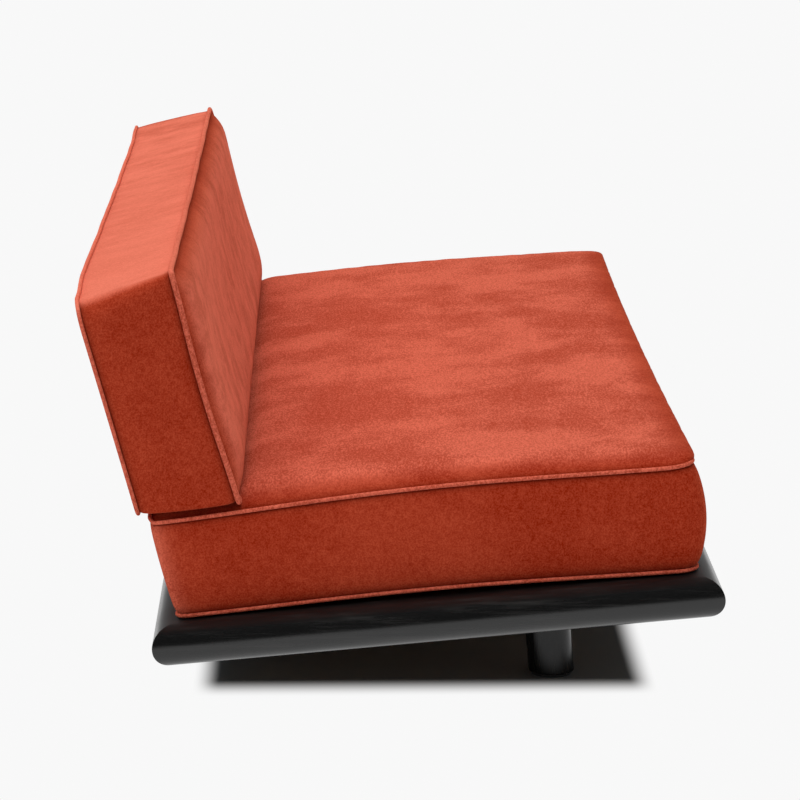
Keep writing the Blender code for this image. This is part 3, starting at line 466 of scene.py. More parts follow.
def surface_mesh(name, points, faces):
    """One closed mesh from a grid of points: doubled points are merged and open ends filled."""
    mesh = bpy.data.meshes.new(name)
    mesh.from_pydata(points.reshape(-1, 3).tolist(), [], faces.tolist())
    form = bmesh.new()
    form.from_mesh(mesh)
    bmesh.ops.remove_doubles(form, verts=form.verts, dist=MERGE)
    bmesh.ops.dissolve_degenerate(form, edges=form.edges, dist=MERGE / 4)
    open_edges = [edge for edge in form.edges if edge.is_boundary]
    bmesh.ops.holes_fill(form, edges=open_edges)
    bmesh.ops.recalc_face_normals(form, faces=form.faces)
    form.to_mesh(mesh)
    form.free()
    mesh.shade_smooth()
    mesh.set_sharp_from_angle(angle=SHARP_ANGLE)
    return mesh


def add_piece(name, mesh, material, body, slot, *nodes):
    """Adds a finished piece that rides on a body and stands for nodes of the frame."""
    piece = bpy.data.objects.new(name, mesh)
    bpy.context.scene.collection.objects.link(piece)
    mesh.materials.append(material)
    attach(piece, body)
    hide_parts(*nodes)
    return piece


def dress_nodes(material, *starts):
    """Gives one finish to every node of the frame whose name begins with one of some words."""
    for name, node in frame["nodes"].items():
        if name.startswith(starts):
            node.data.materials.clear()
            node.data.materials.append(material)


def ease_out(share):
    """Rises from 0 to 1, steep at first and level at the end: one less the cube of what is left."""
    return 1 - (1 - np.clip(share, 0.0, 1.0)) ** 3


def ease_both(share):
    """Rises from 0 to 1, level at both ends: three squares less two cubes."""
    held = np.clip(share, 0.0, 1.0)
    return held * held * (3 - 2 * held)


def between(ends, share):
    """A value part of the way from the first of two to the second."""
    return ends[0] + (ends[1] - ends[0]) * share


# Timber base

RAIL_STATIONS = 9
LEG_TURNS = 64
LEG_FITTINGS = ("leg_bolt", "leg_glide", "leg_bearer")
DULL_DEPTH = 0.012  # how far below a rail's top its lacquer is rubbed dull


def arc(centre, radius, first, last, steps):
    """Points on an arc between two angles in degrees: centre plus radius times cosine and sine."""
    angle = np.radians(np.linspace(first, last, steps + 1))
    return np.column_stack((centre[0] + radius * np.cos(angle), centre[1] + radius * np.sin(angle)))


def rail_section(sizes, thickness, housing):
    """Section of a rail as (distance in from its nose, height), going round from its underside.

    Two arcs that share a tangent make the nose, and small arcs ease the inner edges. A housing is cut out
    of the inner top edge where slats are let in, given as (bearing, depth).
    """
    lower = sizes.rail_lower_radius
    upper = thickness - lower
    edge = sizes.rail_edge
    width = sizes.rail_width
    under_nose = arc((lower, lower), lower, 270.0, 180.0, 24)
    over_nose = arc((upper, lower), upper, 180.0, 90.0, 32)[1:]
    bottom = arc((width - edge, edge), edge, 0.0, -90.0, 4)
    if housing is None:
        top = arc((width - edge, thickness - edge), edge, 90.0, 0.0, 4)
    else:
        bearing, depth = housing
        top = np.array([
            (width - bearing, thickness),
            (width - bearing, thickness - depth),
            (width, thickness - depth),
        ])
    return np.concatenate((under_nose, over_nose, top, bottom))


def rail_points(section, half_length, gap):
    """Carries a rail's section along X, drawn in at both ends by its own distance in, as mitres."""
    reach = half_length - section[:, 0] - gap / math.sqrt(2)
    share = np.linspace(-1.0, 1.0, RAIL_STATIONS)
    along = share[:, None] * reach[None, :]
    inward = np.broadcast_to(section[:, 0], along.shape)
    height = np.broadcast_to(section[:, 1], along.shape)
    return np.stack((along, inward, height), axis=-1)


def turned(points, quarters):
    """Turns points about Z by quarter turns: each takes X to Y and Y to minus X."""
    for _ in range(quarters):
        points = np.stack((-points[..., 1], points[..., 0], points[..., 2]), axis=-1)
    return points


class SOFA_OT_rails(bpy.types.Operator):
    """Makes the four rails of the base, with a full rounded nose and mitred corners"""

    bl_idname = "sofa.rails"
    bl_label = "Rails"

    def execute(self, context):
        sizes = context.scene.sofa_timber
        colours = context.scene.sofa_colours
        end_low, end_high = DECK.box("left_end_rail")
        front_low, front_high = DECK.box("front_rail")
        slat_low, slat_high = DECK.box("seat_slat_01")
        thickness = front_high[2] - front_low[2]
        half_length = front_high[0]
        half_depth = (end_high[1] - end_low[1]) / 2
        bearing = slat_high[1] - (half_depth - sizes.rail_width)
        housing = (bearing, slat_high[2] - slat_low[2])
        lacquer = {"gloss": 0.60, "satin": 0.22}
        lengthwise = black_timber("black_timber_long_rails", colours, (3.0, 70.0, 70.0), **lacquer)
        crosswise = black_timber("black_timber_end_rails", colours, (70.0, 3.0, 70.0), **lacquer)
        plan = {
            "front_rail": (half_length, housing, 0, (0.0, -half_depth), lengthwise),
            "rear_rail": (half_length, housing, 2, (0.0, half_depth), lengthwise),
            "left_end_rail": (half_depth, None, 3, (-half_length, 0.0), crosswise),
            "right_end_rail": (half_depth, None, 1, (half_length, 0.0), crosswise),
        }
        for node, (reach, cut, quarters, corner, finish) in plan.items():
            section = rail_section(sizes, thickness, cut)
            points = turned(rail_points(section, reach, sizes.mitre_gap / 2), quarters)
            points = points + np.array((*corner, -thickness - sizes.rail_sink))
            faces = grid_faces(*points.shape[:2], closed_columns=True)
            mesh = surface_mesh(f"{node}_timber", DECK.to_world(points), faces)
            height = mesh_points(mesh) @ DECK.axes[:, 2]
            store(mesh, "upper", ease_both(1 - (height.max() - height) / DULL_DEPTH))
            add_piece(f"{node}_timber", mesh, finish, "base", "black_wood", node)
        return {"FINISHED"}


class SOFA_OT_legs(bpy.types.Operator):
    """Makes the round legs, square to the deck, each with its foot cut level with the floor"""

    bl_idname = "sofa.legs"
    bl_label = "Legs"

    def execute(self, context):
        edge = context.scene.sofa_timber.leg_edge
        colours = context.scene.sofa_colours
        finish = black_timber("black_timber_legs", colours, (70.0, 70.0, 4.0), gloss=0.35, satin=0.20)
        named = [name for name in frame["nodes"] if name.startswith("leg_")]
        for node in [name for name in named if not name.startswith(LEG_FITTINGS)]:
            mesh = surface_mesh(f"{node}_timber", *self.turned_leg(node, edge))
            add_piece(f"{node}_timber", mesh, finish, "base", "black_wood", node)
        return {"FINISHED"}

    def turned_leg(self, node, edge):
        """A cylinder on a grid of turns and heights, with a rounded foot.

        The radius follows a quarter circle at the foot. The foot's height changes with Y by the deck's lean.
        """
        low, high = DECK.box(node)
        radius = (high[0] - low[0]) / 2
        middle = (low + high) / 2
        floor = mesh_points(frame["nodes"][node].data)[:, 2].min()
        lean = math.atan2(DECK.axes[1, 2], DECK.axes[2, 2])
        rounding = np.radians(np.linspace(0.0, 90.0, 7))
        radii = np.concatenate(([0.0], radius - edge + edge * np.sin(rounding), [radius, 0.0]))
        lifts = np.concatenate(([0.0], edge - edge * np.cos(rounding), [0.0, 0.0]))
        at_top = np.arange(len(radii)) >= len(radii) - 2
        turn = np.linspace(0.0, 2 * math.pi, LEG_TURNS, endpoint=False)
        x = middle[0] + radii[:, None] * np.cos(turn)
        y = middle[1] + radii[:, None] * np.sin(turn)
        foot = (floor - DECK.origin[2]) / math.cos(lean) + y * math.tan(lean) + lifts[:, None]
        z = np.where(at_top[:, None], high[2], foot)
        points = DECK.to_world(np.stack((x, y, z), axis=-1))
        return points, grid_faces(*points.shape[:2], closed_columns=True)


class SOFA_OT_plain_timber(bpy.types.Operator):
    """Finishes the slats, bearers, corner blocks, splines and the back's panel in plain timber"""

    bl_idname = "sofa.plain_timber"
    bl_label = "Slats and Bearers"

    def execute(self, context):
        colours = context.scene.sofa_colours
        crosswise = plain_timber("beech_crosswise", colours, (60.0, 3.0, 60.0))
        lengthwise = plain_timber("beech_lengthwise", colours, (3.0, 60.0, 60.0))
        dress_nodes(crosswise, "seat_slat", "leg_bearer", "corner_block", "mitre_spline")
        dress_nodes(lengthwise, "back_panel", "back_board")
        return {"FINISHED"}


class SOFA_OT_metalwork(bpy.types.Operator):
    """Finishes the brackets, screws, bolts and floor glides"""

    bl_idname = "sofa.metalwork"
    bl_label = "Brackets and Fasteners"

    def execute(self, context):
        dress_nodes(powder_coat(), "back_bracket")
        dress_nodes(zinc_plate(), "bracket_screw", "leg_bolt")
        dress_nodes(black_nylon(), "leg_glide")
        return {"FINISHED"}


# Cushions

# Distances in metres over which a cushion changes, away from its seams or its ends
SEAM_RUN = 0.005  # the fabric turns out of a seam's groove
SEAM_SHADE_RUN = 0.004  # the painted shade beside a seam fades
PAINTED_SHEEN_RUN = 0.055  # the painted sheen of a panel grows in from its seams
CORNER_RUN = 0.020  # the painted sheen where the boxing turns a corner fades
PRESS_RUN = 0.060  # a panel rises to the height that it is pressed to
LIP_RUN = 0.007  # a lip rises and rolls out
LIP_ENDS = 0.080  # a lip grows from nothing at the ends
WAVE_RUN = 0.030  # a wandering seam's waves fade

# Shares of the half length where the high edge starts to swell at its ends, and over which it does
ENDS_START = 0.76
ENDS_RUN = 0.16

# A cover is filled by a cloth simulation, held to its shape by a pull and to a longest move in metres
FILLING_FRAMES = 20
FILLING_HOLD = 0.35
FILLING_LIMIT = 0.022
COVER_CLOTH = {
    "quality": 5,
    "mass": 0.25,
    "tension_stiffness": 18.0,
    "compression_stiffness": 18.0,
    "shear_stiffness": 6.0,
    "bending_stiffness": 1.5,
    "air_damping": 4.0,
    "pin_stiffness": 2.0,
    "use_pressure": True,
    "uniform_pressure_force": 1.2,
    "shrink_min": -0.004,
}


def rolled_out(distance):
    """Rises from 0 at a seam to 1 as the fabric turns out of the groove: one less a falling exponential."""
    return 1 - np.exp(-distance / SEAM_RUN)


def nearest(*distances):
    """The least distance, eased where two are alike: inverse fourth powers are added and turned back."""
    inverse = sum(np.maximum(distance, 1e-6) ** -4.0 for distance in distances)
    return inverse**-0.25


def on_high_edge(across):
    """Whether points lie on the high edge of a cushion."""
    return across > 1 - 1e-6


def by_end(near, far, along, share):
    """A value between the low panel's and the high panel's, given as a pair for each end."""
    return np.where(along < 0, between(near, share), between(far, share))


def wandering(x, through):
    """A wandering line from -1 to 1: the mean of three sines whose lengths don't fit each other."""
    lag = 1.3
    waves = ((11.0, 1.0), (19.0, 4.0), (31.0, 2.0))
    return sum(np.sin(turns * x + start + lag * through) for turns, start in waves) / len(waves)


def round_corners(x, v, half_length, half_width, radius):
    """Draws the points in a corner's square in to a quarter circle: the longer leg over the diagonal."""
    over_x = np.maximum(np.abs(x) - (half_length - radius), 0.0)
    over_v = np.maximum(np.abs(v) - (half_width - radius), 0.0)
    in_corner = (over_x > 0.0) & (over_v > 0.0)
    diagonal = np.where(in_corner, np.hypot(over_x, over_v), 1.0)
    shrink = np.where(in_corner, np.maximum(over_x, over_v) / diagonal, 1.0)
    inner_x = np.abs(x) - over_x
    inner_v = np.abs(v) - over_v
    return np.sign(x) * (inner_x + over_x * shrink), np.sign(v) * (inner_v + over_v * shrink)


def graded(count, gather):
    """Shares from -1 to 1 that gather at the ends: a straight run mixed with a sine."""
    even = np.linspace(-1.0, 1.0, count + 1)
    return (1 - gather) * even + gather * np.sin(even * math.pi / 2)


def panel_rim(rows, columns):
    """Numbers of the points round the edge of a grid, in order."""
    numbers = np.arange(rows * columns).reshape(rows, columns)
    return np.concatenate((numbers[:-1, 0], numbers[-1, :-1], numbers[:0:-1, -1], numbers[0, :0:-1]))


@dataclass
class Swell:
    """How a panel stands out from its seams: a crown that fills over runs in from the seams.

    The crown goes from one height at the low edge to another at the high edge. The roll is the short rise
    beside each seam, and a bow lifts the seams at the ends between their corners. Beside the high edge the
    panel is held to a pressed height, up to the distance of the tuck. A lip is how far the panel rolls up
    and out over its low seam.
    """

    low_crown: float
    high_crown: float
    end_run: float
    low_run: float
    high_run: float
    roll: float
    tuck: float = 0.0
    pressed: float = 0.0
    bow: float = 0.0
    lip_rise: float = 0.0
    lip_reach: float = 0.0

    def rise(self, across, end_distance, low_distance, high_distance):
        """Height of the panel over its seams.

        It is the crown times how far it has filled from each seam, plus the bow, the roll and the lip. The
        bow goes with the square of one less the share across squared.
        """
        crown = between((self.low_crown, self.high_crown), (across + 1) / 2)
        filled = ease_out(end_distance / self.end_run) * ease_out(low_distance / self.low_run)
        held = self.pressed * ease_out(high_distance / PRESS_RUN)
        free = ease_out((high_distance - self.tuck) / self.high_run)
        bowed = self.bow * (1 - across**2) ** 2
        rolled = self.roll * rolled_out(nearest(end_distance, low_distance, high_distance))
        lip = self.lip_rise * (1 - np.exp(-low_distance / LIP_RUN)) * ease_out(end_distance / LIP_ENDS)
        return (held + (crown - held) * free) * filled + bowed + rolled + lip

    def overhang(self, end_distance, low_distance):
        """How far the lip stands out over the low seam: a distance times its falling exponential."""
        share = low_distance / LIP_RUN
        return self.lip_reach * share * np.exp(1 - share) * ease_out(end_distance / LIP_ENDS)


@dataclass
class Cushion:
    """A boxed cushion. X is its length, V the way across its two panels and W the way through it.

    Places takes X, V and W to the sofa's frame, and the grid is its shares along, across and through. Edges
    are V positions of the seams as (on the low panel, on the high panel), and panels are W positions of the
    seams as (at the low edge, at the high edge). Bulges push the boxing out between its seams, rolls lift
    it beside them, and draws pull the seams in between the corners, each as (low edge, high edge, ends).
    Corners are radii as (on the low panel, on the high panel), and so is how far the high edge swells out
    at the near end and at the far end. Its seams wander by the wave. The painted sheens say how strongly a
    paler copy of the pile is painted on for light at a low angle: on the high panel and on the high edge's
    boxing, both as (at the near end, at the far end), and where the boxing turns the high edge's corners.
    """

    body: str
    places: Callable
    grid: tuple
    half_length: float
    low_edge: tuple
    high_edge: tuple
    low_panel: tuple
    high_panel: tuple
    bulges: tuple
    rolls: tuple
    draws: tuple
    low_corner: tuple
    near_corner: tuple
    far_corner: tuple
    near_ends: tuple
    far_ends: tuple
    wave: float
    low_swell: Swell
    high_swell: Swell
    # painted sheen: how strongly a paler copy of the pile is laid on, standing in for light at a low angle
    panel_painted_sheen: tuple
    edge_painted_sheen: tuple
    corner_painted_sheen: float

    def panel_shares(self):
        """Shares along and across of the points of a panel, as two grids."""
        return np.meshgrid(self.grid[0], self.grid[1], indexing="ij")

    def rim_shares(self):
        """Shares along and across of the points round a panel's rim."""
        along, across = self.panel_shares()
        rim = panel_rim(*along.shape)
        return along.ravel()[rim], across.ravel()[rim]

    def seam_distances(self, along, across):
        """Distances from the end seams, the low seam and the high seam."""
        width = self.high_edge[1] - self.low_edge[1]
        return (1 - np.abs(along)) * self.half_length, (1 + across) / 2 * width, (1 - across) / 2 * width

    def boxing_distance(self, through):
        """Distance of the boxing from its nearer seam."""
        return (1 - np.abs(through)) * (self.high_panel[0] - self.low_panel[0]) / 2

    def points(self, along, across, through):
        """Places on the surface, given by three shares from -1 to 1.

        Each seam is a straight run, drawn in by one less the square of its distance from the middle, and
        the boxing bulges as a parabola between its seams. The corners are rounded, and the panels' swells
        are shared out between them.
        """
        along, across, through = np.broadcast_arrays(along, across, through)
        share = (through + 1) / 2
        groove = rolled_out(self.boxing_distance(through))
        out = [bulge * (1 - through**2) + roll * groove for bulge, roll in zip(self.bulges, self.rolls)]
        low = between(self.low_edge, share) + self.draws[0] * (1 - along**2) - out[0]
        high = between(self.high_edge, share) - self.draws[1] * (1 - along**2) + out[1]
        ends = by_end(self.near_ends, self.far_ends, along, share)
        high = high + ends * ease_both((np.abs(along) - ENDS_START) / ENDS_RUN)
        half_length = self.half_length - self.draws[2] * (1 - across**2) + out[2]
        half_width = (high - low) / 2
        high_radius = by_end(self.near_corner, self.far_corner, along, share)
        radius = np.where(across < 0, between(self.low_corner, share), high_radius)
        x, v = round_corners(along * half_length, across * half_width, half_length, half_width, radius)
        distances = self.seam_distances(along, across)
        low_panel = between(self.low_panel, (across + 1) / 2) - self.low_swell.rise(across, *distances)
        high_panel = between(self.high_panel, (across + 1) / 2) + self.high_swell.rise(across, *distances)
        v = v + (high + low) / 2 - self.high_swell.overhang(*distances[:2]) * share
        wander = self.wave * wandering(x, through) * np.exp(-distances[2] / WAVE_RUN)
        return np.stack((x, v, low_panel + (high_panel - low_panel) * share + wander), axis=-1)


def cushion_grid(cushion):
    """Points and faces of a cushion, and rows of the point numbers round it from seam to seam.

    Two panel grids are joined by rows of boxing round their rims.
    """
    along, across = cushion.panel_shares()
    panels = [cushion.points(along, across, side).reshape(-1, 3) for side in (-1.0, 1.0)]
    rim = panel_rim(*along.shape)
    boxing = cushion.points(*cushion.rim_shares(), cushion.grid[2][1:-1, None]).reshape(-1, 3)
    boxing_rows = 2 * along.size + np.arange(len(boxing)).reshape(-1, rim.size)
    rows = np.vstack((rim, boxing_rows, along.size + rim))
    sheet = grid_faces(*along.shape)
    walls = rows.ravel()[grid_faces(*rows.shape, closed_columns=True)]
    faces = np.concatenate((sheet[:, ::-1], sheet + along.size, walls))
    return np.concatenate((*panels, boxing)), faces, rows


def cushion_pile(cushion, rows):
    """Painted sheen and painted seam shade of each point of a cushion.

    A panel's painted sheen falls to 0 towards its seams, and a corner's falls by an exponential of its
    distance squared. The painted seam shade falls from 1 at a seam by an exponential.
    """
    along, across = [shares.ravel() for shares in cushion.panel_shares()]
    rim_along, rim_across = cushion.rim_shares()
    from_seam = nearest(*cushion.seam_distances(along, across))
    from_end = (1 - np.abs(rim_along)) * cushion.half_length / max(cushion.near_corner)
    from_corner = np.hypot(*cushion.seam_distances(rim_along, rim_across)[::2])
    panel_painted_sheen = between(cushion.panel_painted_sheen, (along + 1) / 2) * ease_both(from_seam / PAINTED_SHEEN_RUN)
    edge_painted_sheen = between(cushion.edge_painted_sheen, (rim_along + 1) / 2)
    edge_painted_sheen = edge_painted_sheen * np.where(on_high_edge(rim_across), ease_both(from_end), 0.0)
    painted_sheen = np.zeros(rows.max() + 1)
    painted_sheen[along.size:2 * along.size] = panel_painted_sheen
    painted_sheen[rows] = edge_painted_sheen + cushion.corner_painted_sheen * np.exp(-((from_corner / CORNER_RUN) ** 2))
    painted_seam_shade = np.empty(painted_sheen.size)
    painted_seam_shade[:2 * along.size] = np.tile(np.exp(-from_seam / SEAM_SHADE_RUN), 2)
    painted_seam_shade[rows[1:-1]] = np.exp(-cushion.boxing_distance(cushion.grid[2][1:-1, None]) / SEAM_SHADE_RUN)
    return painted_sheen, painted_seam_shade


def fill_cover(piece, seams):
    """Lets air pressure fill a cushion's cover between its seams, with each point's move held to a limit.

    The seams stay where they are, and the rest is held to its shape by a soft pull.
    """
    mesh = piece.data
    scene = bpy.context.scene
    before = mesh_points(mesh)
    group = piece.vertex_groups.new(name="hold")
    group.add(list(range(len(before))), FILLING_HOLD, "REPLACE")
    group.add(seams.tolist(), 1.0, "REPLACE")
    cloth = piece.modifiers.new("Filling", "CLOTH")
    for name, value in COVER_CLOTH.items():
        setattr(cloth.settings, name, value)
    cloth.settings.vertex_group_mass = group.name
    cloth.settings.effector_weights.gravity = 0.0
    cloth.collision_settings.use_collision = False
    cloth.collision_settings.use_self_collision = False
    for span in (scene, cloth.point_cache):
        span.frame_start = 1
        span.frame_end = FILLING_FRAMES
    for step in range(1, FILLING_FRAMES + 1):
        scene.frame_set(step)
    filled = piece.evaluated_get(bpy.context.evaluated_depsgraph_get())
    move = mesh_points(filled.to_mesh()) - before
    filled.to_mesh_clear()
    piece.modifiers.remove(cloth)
    piece.vertex_groups.remove(group)
    scene.frame_set(1)
    length = np.linalg.norm(move, axis=1, keepdims=True)
    mean = length.mean() / MILLIMETRE
    most = length.max() / MILLIMETRE
    print(f"{piece.name}: filling moved {mean:.1f} mm, at most {most:.1f}")
    move *= np.minimum(1.0, FILLING_LIMIT / np.maximum(length, 1e-9))
    mesh.vertices.foreach_set("co", (before + move).ravel())
    mesh.update()


SEAT_GRID = (graded(150, 0.80), graded(64, 0.90), graded(14, 0.75))
BACK_GRID = (graded(150, 0.80), graded(36, 0.72), graded(14, 0.75))


def back_places(points):
    """Cushion X, V and W on the leaning back: across is height and through is depth, to the front."""
    return BACK.to_world(np.stack((points[..., 0], -points[..., 2], points[..., 1]), axis=-1))


def seat_cushion(sizes):
    """The seat's form between the seams of the frame's piping: across is depth and through is height."""
    reach = sizes.piping_reach
    roll = sizes.seam_roll
    low, high = DECK.box("seat_piping_bottom")
    upper_low, upper_high = DECK.box("seat_piping_top")
    floor = low[2] + reach
    clearance = 0.0004
    under_bow = 0.006
    under_crown = reach - roll - clearance + under_bow
    lip_rise = 0.013
    rear_corner = 0.018
    return Cushion(
        body="seat",
        places=DECK.to_world,
        grid=SEAT_GRID,
        half_length=high[0] - reach,
        low_edge=(low[1] + reach, upper_low[1] + reach),
        high_edge=(high[1] - reach, upper_high[1] - reach),
        low_panel=(floor, floor),
        high_panel=(floor + sizes.seat_front_thickness, floor + sizes.seat_rear_thickness),
        bulges=(sizes.seat_front_bulge, 0.001, sizes.seat_end_bulge),
        rolls=(roll, roll, roll),
        draws=(0.008, 0.018, 0.008),
        low_corner=(0.65 * sizes.seat_corner, sizes.seat_corner),
        near_corner=(rear_corner, rear_corner),
        far_corner=(rear_corner, rear_corner),
        near_ends=(sizes.seat_rear_ends, sizes.seat_rear_ends),
        far_ends=(sizes.seat_rear_ends, sizes.seat_rear_ends),
        wave=0.0,
        low_swell=Swell(
            low_crown=under_crown,
            high_crown=under_crown,
            end_run=0.09,
            low_run=0.09,
            high_run=0.09,
            roll=roll,
            bow=-under_bow,
        ),
        high_swell=Swell(
            low_crown=sizes.seat_front_crown - roll - lip_rise,
            high_crown=sizes.seat_rear_crown - roll - lip_rise,
            end_run=0.11,
            low_run=0.11,
            high_run=0.06,
            roll=roll,
            tuck=0.126,
            pressed=0.007,
            bow=sizes.seat_bow,
            lip_rise=lip_rise,
            lip_reach=sizes.seat_lip,
        ),
        # painted sheen: a paler pile on the seat's top and at its rear boxing corners, for light at a low
        # angle
        panel_painted_sheen=(0.43, 0.43),
        edge_painted_sheen=(0.0, 0.0),
        corner_painted_sheen=0.35,
    )


def back_cushion(sizes):
    """The back's form between the seams of the frame's piping: across is height and through is depth."""
    reach = sizes.piping_reach
    roll = sizes.seam_roll
    low, high = BACK.box("back_piping_rear")
    front_low, front_high = BACK.box("back_piping_front")
    rear_ease = 0.0022
    lower_ease = 0.001
    rear = -high[1] + reach - rear_ease
    front = -front_low[1] - reach
    rear_crown = sizes.back_rear_crown - roll
    front_bow = 0.005
    front_crown = sizes.back_front_crown - roll + front_bow
    return Cushion(
        body="back",
        places=back_places,
        grid=BACK_GRID,
        half_length=high[0] - reach,
        low_edge=(low[2] + reach - lower_ease, front_low[2] + reach),
        high_edge=(high[2] - reach, front_high[2] - reach),
        low_panel=(rear, rear),
        high_panel=(front, front),
        bulges=(0.001, 0.0, 0.006),
        rolls=(0.003, 0.0005, roll),
        draws=(0.004, 0.004, 0.004),
        low_corner=(0.008, 0.008),
        near_corner=(sizes.back_rear_corner, sizes.back_front_corner),
        far_corner=(0.4 * sizes.back_rear_corner, 1.7 * sizes.back_front_corner),
        near_ends=(-0.009, -0.002),
        far_ends=(0.005, -0.001),
        wave=0.0008,
        low_swell=Swell(
            low_crown=rear_crown,
            high_crown=rear_crown,
            end_run=0.30,
            low_run=0.12,
            high_run=0.12,
            roll=roll,
        ),
        high_swell=Swell(
            low_crown=front_crown,
            high_crown=front_crown,
            end_run=0.13,
            low_run=0.10,
            high_run=0.06,
            roll=roll,
            bow=-front_bow,
        ),
        # painted sheen: a paler pile on the back's front panel and top boxing, for light from above
        panel_painted_sheen=(0.60, 0.72),
        edge_painted_sheen=(1.0, 0.72),
        corner_painted_sheen=0.0,
    )


def make_cushion(cushion, material):
    """Adds a cushion: its form on a grid, filled by a cloth simulation between its seams, then smoothed."""
    name = f"{cushion.body}_cushion"
    points, faces, rows = cushion_grid(cushion)
    mesh = bpy.data.meshes.new(name)
    mesh.from_pydata(cushion.places(points).tolist(), [], faces.tolist())
    mesh.shade_smooth()
    # painted sheen and painted seam shade, stored for the velvet to read
    painted_sheen, painted_seam_shade = cushion_pile(cushion, rows)
    store(mesh, "painted_sheen", painted_sheen)
    store(mesh, "painted_seam_shade", painted_seam_shade)
    nodes = (f"{cushion.body}_cover", f"{cushion.body}_foam")
    piece = add_piece(name, mesh, material, cushion.body, "velvet", *nodes)
    fill_cover(piece, np.concatenate((rows[0], rows[-1])))
    smooth = piece.modifiers.new("Smooth", "SUBSURF")
    smooth.levels = 1
    smooth.render_levels = 1


class SOFA_OT_seat(bpy.types.Operator):
    """Makes the long seat cushion of velvet, thicker at the front and crowned in front of the back"""

    bl_idname = "sofa.seat"
    bl_label = "Seat Cushion"

    def execute(self, context):
        finish = velvet(
            "seat_velvet",
            context.scene.sofa_colours,
            strokes=(5.0, 5.5, 9.0),
            strands=(110.0, 330.0, 330.0),
            streak=1.0,
            mottle=0.55,
            painted_sheen_lift=-0.14,
        )
        make_cushion(seat_cushion(context.scene.sofa_cushions), finish)
        return {"FINISHED"}


class SOFA_OT_back(bpy.types.Operator):
    """Makes the long back cushion of velvet, crowned to the front and the rear"""

    bl_idname = "sofa.back"
    bl_label = "Back Cushion"

    def execute(self, context):
        finish = velvet(
            "back_velvet",
            context.scene.sofa_colours,
            strokes=(16.0, 10.0, 9.0),
            strands=(12.0, 3.0, 24.0),
            streak=0.52,
            mottle=0.36,
            painted_sheen_lift=0.30,
        )
        make_cushion(back_cushion(context.scene.sofa_cushions), finish)
        return {"FINISHED"}


# Piping and zips

PIPING_SIDES = 12
# painted sheen on the piping: a paler copy of the pile where the cord catches the light
PIPING_PAINTED_SHEEN = 0.45
THICK_PIPING = 1.35

# Half of a zip's section in millimetres: distance from the middle of its teeth, and how far it stands out
ZIP_SECTION = ((0.0, 1.8), (1.2, 1.6), (2.4, 0.7), (3.0, 0.7), (10.5, 0.6), (11.0, -1.0))
ZIP_STATIONS = 301
ZIP_TEETH = 0.002  # the row of teeth lies within this distance of its middle
ZIP_TOOTH = 0.22  # how much further every second tooth stands out, as a share
ZIP_BACK = 0.001  # how far the back of the tape lies inside the boxing


def swept_ring(path, outward, upward, radius):
    """Carries a circle round a closed path: the path plus radius times cosine outward and sine upward."""
    turn = np.linspace(0.0, 2 * math.pi, PIPING_SIDES, endpoint=False)[None, :, None]
    ring = np.cos(turn) * outward[:, None, :] + np.sin(turn) * upward[:, None, :]
    points = path[:, None, :] + radius * ring
    return points, grid_faces(len(path), PIPING_SIDES, closed_rows=True, closed_columns=True)


def piping_path(cushion, through, step):
    """Middle line of the piping, set out diagonally from a seam, with its outward and upward directions."""
    seam = cushion.points(*cushion.rim_shares(), through)
    onward = np.roll(seam, -1, axis=0) - np.roll(seam, 1, axis=0)
    outward = np.stack((onward[:, 1], -onward[:, 0], np.zeros(len(seam))), axis=-1)
    outward /= np.linalg.norm(outward, axis=1, keepdims=True)
    upward = np.broadcast_to((0.0, 0.0, 1.0), seam.shape)
    return seam + (outward + through * upward) * step, outward, upward


class SOFA_OT_piping(bpy.types.Operator):
    """Makes the velvet piping round the panels of both cushions"""

    bl_idname = "sofa.piping"
    bl_label = "Piping"

    def execute(self, context):
        sizes = context.scene.sofa_cushions
        finish = velvet(
            "piping_velvet",
            context.scene.sofa_colours,
            strokes=(40.0, 40.0, 40.0),
            strands=(260.0, 260.0, 260.0),
            streak=1.0,
            mottle=0.20,
            painted_sheen_lift=0.0,
        )
        seat = seat_cushion(sizes)
        back = back_cushion(sizes)
        plan = {
            # the last number is the painted sheen on the high edge, stronger on the back's top piping
            "seat_piping_top": (seat, 1.0, 1.0, PIPING_PAINTED_SHEEN),
            "seat_piping_bottom": (seat, -1.0, 1.0, PIPING_PAINTED_SHEEN),
            "back_piping_front": (back, 1.0, THICK_PIPING, 0.78),
            "back_piping_rear": (back, -1.0, 1.0, 0.90),
        }
        for node, (cushion, through, thickness, edge_painted_sheen) in plan.items():
            path = piping_path(cushion, through, sizes.piping_step * thickness)
            points, faces = swept_ring(*path, sizes.piping_radius * thickness)
            mesh = surface_mesh(f"{node}_velvet", cushion.places(points), faces)
            painted_sheen = np.where(on_high_edge(cushion.rim_shares()[1]), edge_painted_sheen, PIPING_PAINTED_SHEEN)
            store(mesh, "painted_sheen", np.repeat(painted_sheen, PIPING_SIDES))
            add_piece(f"{node}_velvet", mesh, finish, cushion.body, "velvet_piping", node)
        return {"FINISHED"}


